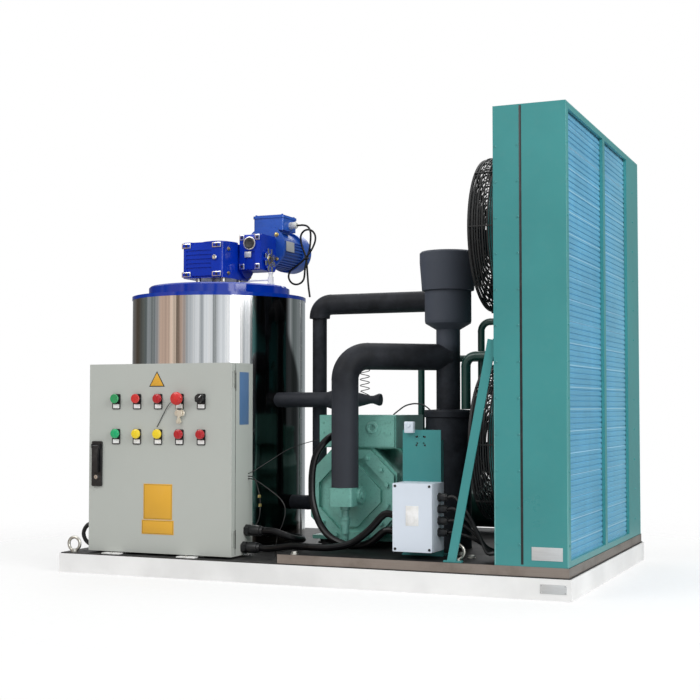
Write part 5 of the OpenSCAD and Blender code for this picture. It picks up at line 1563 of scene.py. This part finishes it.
    def add_bolts(self) -> None:
        """Add the yellow bolts of the motor's flange and of the neck, and the terminal box's screws."""
        middle = (self.worm[0], self.motor_flange, self.worm[2])
        places = ring_of(middle, self.flange_circle, 4, 45.0, Facing.FRONT)
        self.piece("flange_screws", Form.bolt(*self.flange_bolt).copies(places), FINISH.brass, "zinc")
        neck = Form.bolt(*self.neck_bolt).copies(
            set_at(self.neck_x, y, z, Facing.RIGHT) for y in self.neck_y for z in self.neck_z)
        self.piece("neck_screws", neck, FINISH.brass, "zinc")
        x, y, z = self.terminal_top
        wide, deep = self.terminal_reach
        lid = Form.screw(*self.terminal_screw).copies(
            set_at(x + sx * wide, y + sy * deep, z) for sx in (-1, 1) for sy in (-1, 1))
        self.piece("terminal_box_screws", lid, FINISH.zinc, "zinc")

    def add_plates(self) -> None:
        """Add the bare plates of the second gearbox and the motor."""
        low = Form.block(self.gearbox_plate_size, 0.3).at(*self.gearbox_plate)
        self.piece("gearbox_plate", low, FINISH.plate, "zinc")
        side = Form.block(self.motor_plate_size, 0.3).at(*self.motor_plate)
        self.piece("motor_plate", side, FINISH.plate, "zinc")


@dataclass
class Cabinet(Assembly):
    """Control cabinet with its door and operators."""

    first_x: float = -648.6
    pitch: float = 78.0
    columns: int = 5
    rows: Pair = (559.0, 447.0)
    door_front: float = -505.0
    holder_front: float = -511.0
    head_back: float = -520.4
    pointer_front: float = -527.2
    insert_size: Triple = (23.6, 0.9, 12.6)
    insert_front: float = -506.7
    insert_drop: float = 24.5
    side_x: float = -229.0
    side_plate: Pair = (-424.0, 559.5)
    side_plate_size: Triple = (0.6, 62.0, 165.0)
    foot_x: Pair = (-654.0, -380.0)
    foot_size: Triple = (64.0, 30.0, 4.0)
    foot_y: float = -514.0
    foot_top: float = 67.0
    foot_screw: Pair = (4.2, 2.6)
    edge_x: Pair = (-232.4, -748.4)
    edge_y: float = -502.4
    edge_z: Pair = (72.0, 668.0)
    edge_radius: float = 3.0
    seam_y: float = -481.0
    seam_size: Triple = (0.6, 2.0, 590.0)
    slot_size: Triple = (0.9, 4.6, 58.0)
    hinge_z: Pair = (612.0, 122.0)
    gasket_x: Pair = (-744.0, -240.0)
    gasket_y: float = -486.5
    gasket_z: Pair = (80.0, 660.0)
    gasket_radius: float = 2.2
    triangle: Pair = (-498.0, 617.0)
    notices: tuple[tuple[float, float, float, float], ...] = (
        (-492.5, 233.0, 105.0, 112.0), (-492.5, 152.5, 117.0, 45.0))
    border_inset: float = 6.0
    keys: tuple[Triple, ...] = (
        (-24.0, -6.0, -510.0), (-6.0, -1.0, -513.0), (14.0, 5.0, -516.0), (34.0, 11.0, -511.5))
    key_drop: float = 46.0
    ring_radius: float = 12.0
    ring_shift: Pair = (3.0, -27.0)
    ring_y: float = -513.5
    tie_radius: float = 1.1
    hose_radius: float = 7.0
    hose_route: Route = (
        (-751, -425, 152), (-775, -432, 152), (-800, -440, 143), (-815, -440, 118), (-807, -438, 93),
        (-787, -430, 77), (-770, -410, 71), (-766, -370, 70.5), (-764, -310, 70.5), (-760, -246, 70.5))
    wire_radius: float = 1.7
    wire_routes: tuple[Route, ...] = (
        ((-229, -395, 314), (-207, -395, 307), (-189, -395, 258), (-186, -395, 211), (-193, -395, 174),
         (-208, -400, 152), (-229, -402, 138)),
        ((-229, -395, 306), (-204, -395, 302), (-155, -395, 274), (-112, -395, 242), (-98, -395, 209),
         (-108, -394, 167), (-123, -392, 138), (-134, -388, 98), (-138, -384, 63)))
    tube_radius: float = 1.3
    tube_route: Route = (
        (-229, -396, 322), (-216, -380, 330), (-182, -330, 362), (-148, -284, 393), (-96, -270, 414),
        (-26, -264, 432))
    nuts: Route = ((-188.6, -395.0, 247.0), (-186.4, -395.0, 219.0))

    def build(self) -> None:
        """Dress the cabinet and add its fittings, plates, wires and keys."""
        self.dress(FINISH.cabinet, "cabinet_body", "cabinet_door")
        self.dress(FINISH.zinc, "mounting_plate")
        self.dress(FINISH.gears, "control_gear")
        self.dress(FINISH.black, "latch_base", "latch_handle", "button_bezels", "selector_knob")
        self.dress(FINISH.gland, "cable_glands")
        self.dress(FINISH.bright, "key_cylinder")
        self.dress(FINISH.lens, "indicator_lamps")
        self.dress(FINISH.green, "start_button")
        self.dress(FINISH.red, "stop_button", "emergency_stop")
        self.add_inserts()
        self.add_plates()
        self.add_keys()
        self.add_gasket()
        self.add_caps()
        self.add_feet()
        self.add_edges()
        self.add_wires()

    def operator(self, row: int, column: int) -> Pair:
        """Return the place of an operator on the door, X and Z."""
        return (self.first_x + column * self.pitch, self.rows[row])

    def add_inserts(self) -> None:
        """Add the white inserts of the legend plates."""
        holders = [self.operator(row, column) for row in (0, 1) for column in range(self.columns)]
        inserts = Form.block(self.insert_size, 0.35).copies(
            set_at(x, self.insert_front, z - self.insert_drop) for x, z in holders)
        self.piece("legend_inserts", inserts, FINISH.white, "device_white", "door")

    def add_plates(self) -> None:
        """Add the plain plates on the door and the side."""
        face = self.door_front
        x, z = self.triangle
        outer = Form.prism([(-28.5, -20.0), (28.5, -20.0), (0.0, 29.0)], 0.8, 0.25)
        self.piece("door_triangle_edge", outer.at(x, face, z, Facing.FRONT), FINISH.black,
                   "black_plastic", "door")
        inner = Form.prism([(-24.0, -17.4), (24.0, -17.4), (0.0, 24.0)], 0.5, 0.15)
        self.piece("door_triangle", inner.at(x, face - 0.8, z, Facing.FRONT), FINISH.yellow,
                   "device_white", "door")
        plates, borders = Form(), Form()
        for x, z, wide, tall in self.notices:
            plates.add(Form.block((wide, 0.6, tall), 0.25).at(x, face - 0.3, z))
            wide, tall = wide - self.border_inset, tall - self.border_inset
            for side in (-1, 1):
                borders.add(Form.block((0.9, 0.3, tall), 0.1).at(x + side * wide / 2, face - 0.7, z))
                borders.add(Form.block((wide, 0.3, 0.9), 0.1).at(x, face - 0.7, z + side * tall / 2))
        self.piece("door_plates", plates, FINISH.yellow, "device_white", "door")
        self.piece("plate_borders", borders, FINISH.bronze, "device_white", "door")
        strip = Form.block(self.side_plate_size, 0.25)
        strip.at(self.side_x + self.side_plate_size[0] / 2, *self.side_plate)
        self.piece("side_plate", strip, FINISH.blue, "device_white")

    def add_keys(self) -> None:
        """Hang the key bunch and its black tie from the emergency stop."""
        x, z = self.operator(0, 3)
        ring_x, ring_z, radius = x + self.ring_shift[0], z + self.ring_shift[1], self.ring_radius
        ring = [(ring_x + radius * math.cos(t), self.ring_y, ring_z + radius * math.sin(t))
                for t in round_angles(24)]
        keys = Form.wire(ring, 1.0, True)
        coin = [(0, -0.9), (9.0, -0.9), (10.0, 0), (9.0, 0.9), (0, 0.9)]
        for lean, shift, deep in self.keys:
            key = Form.turned(coin, 24).at(0, 0, 0, Facing.FRONT)
            key.add(Form.block((6.0, 1.6, 26.0), 0.4).at(0, 0, -20.0))
            key.add(Form.block((4.0, 1.5, 3.0), 0.3).at(3.0, 0, -25.0))
            turn = Matrix.Rotation(math.radians(lean), 4, "Y")
            keys.add(key.moved(Matrix.Translation((x + shift, deep, z - self.key_drop)) @ turn))
        self.piece("key_bunch", keys, FINISH.key, "zinc", "door")
        tail = [(x - 15, -512, z - 5), (x - 36, -509.5, z - 18), (x - 56, -507.5, z - 46),
                (x - 72, -507, z - 74), (x - 82, -506.5, z - 90)]
        self.piece("key_tie", Form.hose(tail, self.tie_radius, 4), FINISH.black, "black_plastic", "door")

    def add_gasket(self) -> None:
        """Add the rubber gasket inside the door."""
        (left, right), (low, high), y = self.gasket_x, self.gasket_z, self.gasket_y
        loop = [(left, y, low), (right, y, low), (right, y, high), (left, y, high)]
        gasket = Form.wire(loop, self.gasket_radius, True)
        self.piece("door_gasket", gasket, FINISH.rubber, "black_rubber", "door")

    def add_caps(self) -> None:
        """Add the wide lamp lenses, button caps, the mushroom head and the selector's pointer."""
        dome = [(0, 0), (15.0, 0), (15.3, 1.0), (15.0, 6.0), (13.4, 8.6), (9.0, 10.0), (0, 10.6)]
        lamps = [self.operator(1, column) for column in range(self.columns)] + [self.operator(0, 2)]
        lenses = Form.turned(dome, 36).copies(
            set_at(x, self.holder_front, z, Facing.FRONT) for x, z in lamps)
        self.piece("lamp_caps", lenses, FINISH.lens, "lens", "door")
        cap = [(0, 0), (10.4, 0), (10.4, 5.2), (14.7, 5.2), (15.0, 6.0), (14.7, 9.2), (13.4, 10.4),
               (0, 9.6)]
        for body, finish, slot, column in (("start", FINISH.green, "signal_green", 0),
                                           ("stop", FINISH.red, "signal_red", 1)):
            x, z = self.operator(0, column)
            shape = Form.turned(cap, 36).at(x, self.holder_front, z, Facing.FRONT)
            self.piece(body + "_cap", shape, finish, slot, body)
        x, z = self.operator(0, 3)
        head = [(12.0, 0), (17.0, 0.2), (20.4, 2.6), (21.0, 5.0), (20.4, 9.0), (18.0, 12.6), (13.0, 14.6),
                (0, 15.2)]
        mushroom = Form.turned(head, 40).at(x, self.head_back, z, Facing.FRONT)
        self.piece("estop_head", mushroom, FINISH.red, "signal_red", "estop")
        x, z = self.operator(0, 4)
        turn = Matrix.Translation((x, self.pointer_front, z)) @ Matrix.Rotation(math.radians(45.0), 4, "Y")
        pointer = Form.block((2.0, 0.6, 11.0), 0.2).at(0.0, 0.0, 9.5).moved(turn)
        self.piece("selector_pointer", pointer, FINISH.white, "device_white", "selector")

    def add_feet(self) -> None:
        """Add the white tabs that hold the cabinet down, each with its screw."""
        feet, heads = Form(), Form()
        middle = self.foot_top - self.foot_size[2] / 2
        for x in self.foot_x:
            feet.add(Form.block(self.foot_size, 0.8).at(x, self.foot_y, middle))
            heads.add(Form.screw(*self.foot_screw).at(x, self.foot_y - 5.0, self.foot_top))
        self.piece("cabinet_feet", feet, FINISH.white, "fitting_white")
        self.piece("feet_screws", heads, FINISH.zinc, "zinc")

    def add_edges(self) -> None:
        """Add the door's rolled edges, and dark strips for the seam behind the door and the hinge slots,
        which are painted shade in these gaps.
        """
        rolls = Form()
        for x in self.edge_x:
            rolls.add(Form.wire([(x, self.edge_y, z) for z in self.edge_z], self.edge_radius))
        self.piece("door_edges", rolls, FINISH.cabinet, "cabinet_grey", "door")
        # Painted shade: dark strips stand for the shaded gap behind the door and the hinge slots.
        seam = Form.block(self.seam_size, 0.1).at(self.side_x + 0.1, self.seam_y, sum(self.edge_z) / 2)
        for z in self.hinge_z:
            seam.add(Form.block(self.slot_size, 0.2).at(self.side_x + 0.2, self.seam_y + 1.0, z))
        self.piece("door_seam", seam, FINISH.rubber, "black_rubber")

    def add_wires(self) -> None:
        """Add the drain hose on the left and the thin wires and tube on the right."""
        hose = Form.hose(self.hose_route, self.hose_radius)
        self.piece("drain_hose", hose, FINISH.rubber, "black_rubber")
        wires = Form()
        for route in self.wire_routes:
            wires.add(Form.hose(route, self.wire_radius))
        self.piece("thin_wires", wires, FINISH.rubber, "black_rubber")
        tube = Form.hose(self.tube_route, self.tube_radius)
        self.piece("thin_tube", tube, FINISH.fan, "fan_black")
        nut = Form.turned([(0, 0), (4.6, 0), (5.2, 0.8), (5.2, 8.0), (4.2, 9.0), (0, 9.0)], 6)
        nuts = nut.copies(set_at(*place) for place in self.nuts)
        self.piece("wire_nuts", nuts, FINISH.brass, "zinc")


@dataclass
class Compressor(Assembly):
    """Semi-hermetic compressor on its rubber feet."""

    cover_face: float = -300.0
    cover_bolt: Triple = (15.0, 6.5, 1.6)
    cover_bolts: tuple[Pair, ...] = (
        (139, 374), (186, 338), (206, 290), (208, 226), (186, 170), (140, 132), (34, 132), (-12, 170))
    seam: Pair = (104.0, 492.0)
    seam_size: Triple = (252.0, 0.8, 2.0)
    boss: Pair = (157.0, 468.0)
    screw: Pair = (3.6, 2.2)
    screw_x: Pair = (-10.0, 199.0)
    screw_z: Pair = (452.0, 483.0)
    ear: Triple = (127.0, -352.0, 272.0)
    ear_bolt: Triple = (16.0, 6.0, 1.6)
    stem: Triple = (94.0, -366.0, 228.0)

    def build(self) -> None:
        """Dress the compressor and add its bolts, screws and valve fittings."""
        self.dress(FINISH.compressor, "compressor_body", "compressor_end_cover", "compressor_terminal_box")
        # The valve carries the shaded copy of the compressor's green.
        self.dress(FINISH.valve, "suction_valve")
        self.dress(FINISH.rubber, "compressor_feet")
        self.add_bolts()
        self.add_box_fittings()
        self.add_valve_fittings()

    def add_bolts(self) -> None:
        """Add the bolts of the end cover."""
        bolts = Form.bolt(*self.cover_bolt).copies(
            set_at(x, self.cover_face, z, Facing.FRONT) for x, z in self.cover_bolts)
        self.piece("cover_bolts", bolts, FINISH.compressor, "compressor_green")

    def add_box_fittings(self) -> None:
        """Add the terminal box's seam, boss and screws."""
        x, z = self.seam
        seam = Form.block(self.seam_size, 0.2).at(x, self.cover_face - 0.2, z)
        self.piece("terminal_seam", seam, FINISH.compressor, "compressor_green")
        rim = [(0, 4.0), (9.0, 4.0), (11.0, 6.0), (17.0, 6.0), (19.0, 4.4), (19.0, 0), (0, 0)]
        x, z = self.boss
        boss = Form.turned(rim, 32).at(x, self.cover_face, z, Facing.FRONT)
        self.piece("terminal_boss", boss, FINISH.compressor, "compressor_green")
        heads = Form.screw(*self.screw).copies(
            set_at(x, self.cover_face, z, Facing.FRONT) for x in self.screw_x for z in self.screw_z)
        self.piece("terminal_screws", heads, FINISH.compressor, "compressor_green")

    def add_valve_fittings(self) -> None:
        """Add the suction valve's flange bolt and the stem under it."""
        ear = Form.turned([(0, 0), (13.0, 0), (14.0, 1.4), (14.0, 7.0), (12.0, 8.4), (0, 8.4)], 32)
        ear.add(Form.bolt(*self.ear_bolt).at(0, 0, 8.4))
        self.piece("valve_ear", ear.at(*self.ear, Facing.FRONT), FINISH.valve, "compressor_green")
        profile = [(0, 0), (14.0, 0), (15.5, 2.0), (15.5, 12.0), (11.0, 15.0), (11.0, 34.0), (15.0, 37.0),
                   (15.0, 44.0), (12.0, 46.0), (12.0, 86.0), (0, 86.0)]
        stem = Form.turned(profile, 28).at(*self.stem, Facing.DOWN)
        self.piece("valve_stem", stem, FINISH.valve, "compressor_green")


@dataclass
class Pipework(Assembly):
    """Insulated lines, separator, valve and green pipes."""

    coil_axis: Pair = (74.0, -160.0)
    coil_radius: float = 15.0
    coil_top: float = 652.0
    coil_fall: float = 3.1
    coil_steps: int = 64
    steps_a_turn: int = 18
    coil_lead: Route = ((112, -190, 664), (100, -168, 656))
    coil_end: Triple = (90, -160, 570)
    tube_radius: float = 1.4
    sensor_radius: float = 2.4
    sensor_route: Route = (
        (150, -100, 507), (167, -100, 520), (192, -101, 536), (223, -104, 543), (253, -110, 540),
        (272, -118, 532), (289, -126, 520))

    def build(self) -> None:
        """Dress the lines and add their thin tubes."""
        self.dress(FINISH.sleeve, "suction_line", "evaporator_pipe", "expansion_valve")
        self.dress(FINISH.vessel, "suction_separator")
        self.dress(FINISH.pipe, "discharge_pipes", "liquid_receiver")
        self.add_capillary()

    def add_capillary(self) -> None:
        """Add the coiled capillary over the expansion valve and the sensor's black wire."""
        x, y = self.coil_axis
        turns = [(x + self.coil_radius * math.cos(t), y + self.coil_radius * math.sin(t),
                  self.coil_top - self.coil_fall * t)
                 for t in [math.tau * i / self.steps_a_turn for i in range(self.coil_steps)]]
        coil = Form.wire([*self.coil_lead, *turns, self.coil_end], self.tube_radius)
        self.piece("capillary", coil, FINISH.rubber, "black_rubber")
        sensor = Form.hose(self.sensor_route, self.sensor_radius)
        self.piece("sensor_wire", sensor, FINISH.rubber, "black_rubber")


@dataclass
class Junction(Assembly):
    """Junction box on its post, with conduits and leads."""

    box_face: float = -500.0
    box_x: Pair = (309.0, 415.0)
    box_z: Pair = (119.0, 302.0)
    box_screw: Pair = (4.0, 1.6)
    plate: Pair = (362.0, 216.0)
    plate_size: Triple = (40.0, 0.6, 58.0)
    post_face: float = -393.0
    post_x: Pair = (337.0, 364.0)
    post_z: Pair = (418.0, 443.0)
    post_screw: Pair = (3.0, 0.8)
    switch: Triple = (319.0, -403.0, 472.0)
    switch_size: Triple = (29.0, 20.0, 34.0)
    knob_lift: float = 6.0

    def build(self) -> None:
        """Dress the junction and add its screws, plate and switch."""
        self.dress(FINISH.case, "junction_post")
        self.dress(FINISH.box, "junction_box")
        self.dress(FINISH.conduit, "power_conduits")
        self.dress(FINISH.lead, "junction_leads")
        self.add_box_fittings()
        self.add_controller()

    def add_box_fittings(self) -> None:
        """Add the box's corner screws and its bare plate."""
        corners = [set_at(x, self.box_face, z, Facing.FRONT) for x in self.box_x for z in self.box_z]
        screws = Form.screw(*self.box_screw).copies(corners)
        self.piece("junction_screws", screws, FINISH.rubber, "black_rubber")
        x, z = self.plate
        plate = Form.block(self.plate_size, 0.25).at(x, self.box_face - self.plate_size[1] / 2, z)
        self.piece("junction_plate", plate, FINISH.white, "device_white")

    def add_controller(self) -> None:
        """Add the small pale pressure switch at the post's top, and the post's screws."""
        x, y, z = self.switch
        case = Form.block(self.switch_size, 2.0).at(x, y, z)
        self.piece("pressure_switch", case, FINISH.box, "device_white")
        knob = Form.turned([(0, 0), (6.0, 0), (6.0, 2.6), (5.0, 3.4), (0, 3.4)], 24)
        knob.at(x, y - self.switch_size[1] / 2, z + self.knob_lift, Facing.FRONT)
        self.piece("switch_knob", knob, FINISH.box, "device_white")
        places = [set_at(x, self.post_face, z, Facing.FRONT) for x in self.post_x for z in self.post_z]
        heads = Form.screw(*self.post_screw).copies(places)
        self.piece("post_screws", heads, FINISH.rubber, "black_rubber")


@dataclass
class Condenser(Assembly):
    """Air-cooled condenser with four fans."""

    side: float = -532.0
    top: float = 1388.0
    joint_x: float = 700.0
    joint_wide: float = 7.0
    joint_high: float = 1290.0
    joint_middle: float = 740.0
    edge_x: Pair = (829.0, 622.0)
    edge_z: Pair = (92.0, 1386.0)
    edge_radius: float = 2.3
    plate: Pair = (771.0, 126.5)
    plate_size: Triple = (88.0, 0.8, 37.0)
    screw: Pair = (3.4, 1.6)
    screw_x: Pair = (627.0, 692.0)
    face_x: float = 831.0
    face_screw_y: Pair = (-517.0, 431.0)
    first_screw: float = 150.0
    screw_pitch: float = 102.0
    screw_count: int = 12
    fan_y: Pair = (-267.0, 267.0)
    fan_z: Pair = (1053.0, 425.0)
    basket_face: float = 534.0
    basket_depth: float = 6.0
    basket_radius: float = 233.0
    hub_radius: float = 64.0
    face_rings: int = 18
    face_pitch: float = 8.5
    side_rings: int = 10
    side_pitch: float = 7.5
    wire_radius: float = 1.6

    def build(self) -> None:
        """Dress the condenser and add its joints, screws, plate and fine wires."""
        self.dress(FINISH.case, "coil_case", "fan_plenum", "condenser_brace")
        self.dress(FINISH.fins, "condenser_coil")
        self.dress(FINISH.wire, "fan_guards")
        self.dress(FINISH.fan, "fan_upper_front", "fan_lower_front", "fan_upper_rear", "fan_lower_rear")
        self.add_seams()
        self.add_screws()
        self.add_wires()

    def add_seams(self) -> None:
        """Add the dark joint between plenum and coil case, the rolled edges in a lighter teal that is a
        painted highlight, and the bare plate.
        """
        joint = Form.block((self.joint_wide, -2 * self.side - 4.0, 0.6), 0.2).at(
            self.joint_x, 0.0, self.top - 0.25)
        for y in (self.side - 0.1, -self.side + 0.1):
            strip = Form.block((self.joint_wide, 0.6, self.joint_high), 0.2)
            joint.add(strip.at(self.joint_x, y, self.joint_middle))
        self.piece("case_joint", joint, FINISH.black, "case_teal")
        near, far = self.side + 2.0, -self.side - 2.0
        low, high = self.edge_z
        edges = Form()
        for x in self.edge_x:
            outline = [(x, near, low), (x, near, high), (x, far, high), (x, far, low)]
            edges.add(Form.wire(outline, self.edge_radius))
        # The rolled edges carry the lighter teal, a painted highlight.
        self.piece("case_edges", edges, FINISH.rim, "case_teal")
        x, z = self.plate
        plate = Form.block(self.plate_size, 0.3).at(x, self.side - self.plate_size[1] / 2, z)
        self.piece("condenser_plate", plate, FINISH.plate, "zinc")

    def add_screws(self) -> None:
        """Add the screws along the case's edges."""
        heights = [self.first_screw + self.screw_pitch * i for i in range(self.screw_count)]
        places = [set_at(x, self.side, z, Facing.FRONT) for x in self.screw_x for z in heights]
        places += [set_at(x, -self.side, z, Facing.BACK) for x in self.screw_x for z in heights]
        places += [set_at(self.face_x, y, z, Facing.RIGHT) for y in self.face_screw_y for z in heights]
        self.piece("case_screws", Form.screw(*self.screw).copies(places), FINISH.case, "case_teal")

    def add_wires(self) -> None:
        """Add the close-set rings of the four wire baskets."""
        rings = [(self.basket_face, self.hub_radius + self.face_pitch * (i + 1))
                 for i in range(self.face_rings)]
        rings += [(self.basket_face + self.basket_depth + self.side_pitch * (i + 1), self.basket_radius)
                  for i in range(self.side_rings)]
        baskets = Form()
        for y, z in [(y, z) for y in self.fan_y for z in self.fan_z]:
            for x, radius in rings:
                loop = [(x, y + radius * math.cos(t), z + radius * math.sin(t)) for t in round_angles(48)]
                baskets.add(Form.wire(loop, self.wire_radius, True))
        self.piece("basket_wires", baskets, FINISH.wire, "fan_black")


def main() -> None:
    """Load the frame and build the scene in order."""
    logging.basicConfig(level=logging.INFO, format="%(name)s: %(message)s")
    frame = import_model()
    Studio().build()
    for kind in (MotorLead, Base, IceDrum, Drive, Cabinet, Compressor, Pipework, Junction, Condenser):
        kind(frame).build()
        LOG.info("built %s", kind.__name__)


if __name__ == "__main__":
    main()
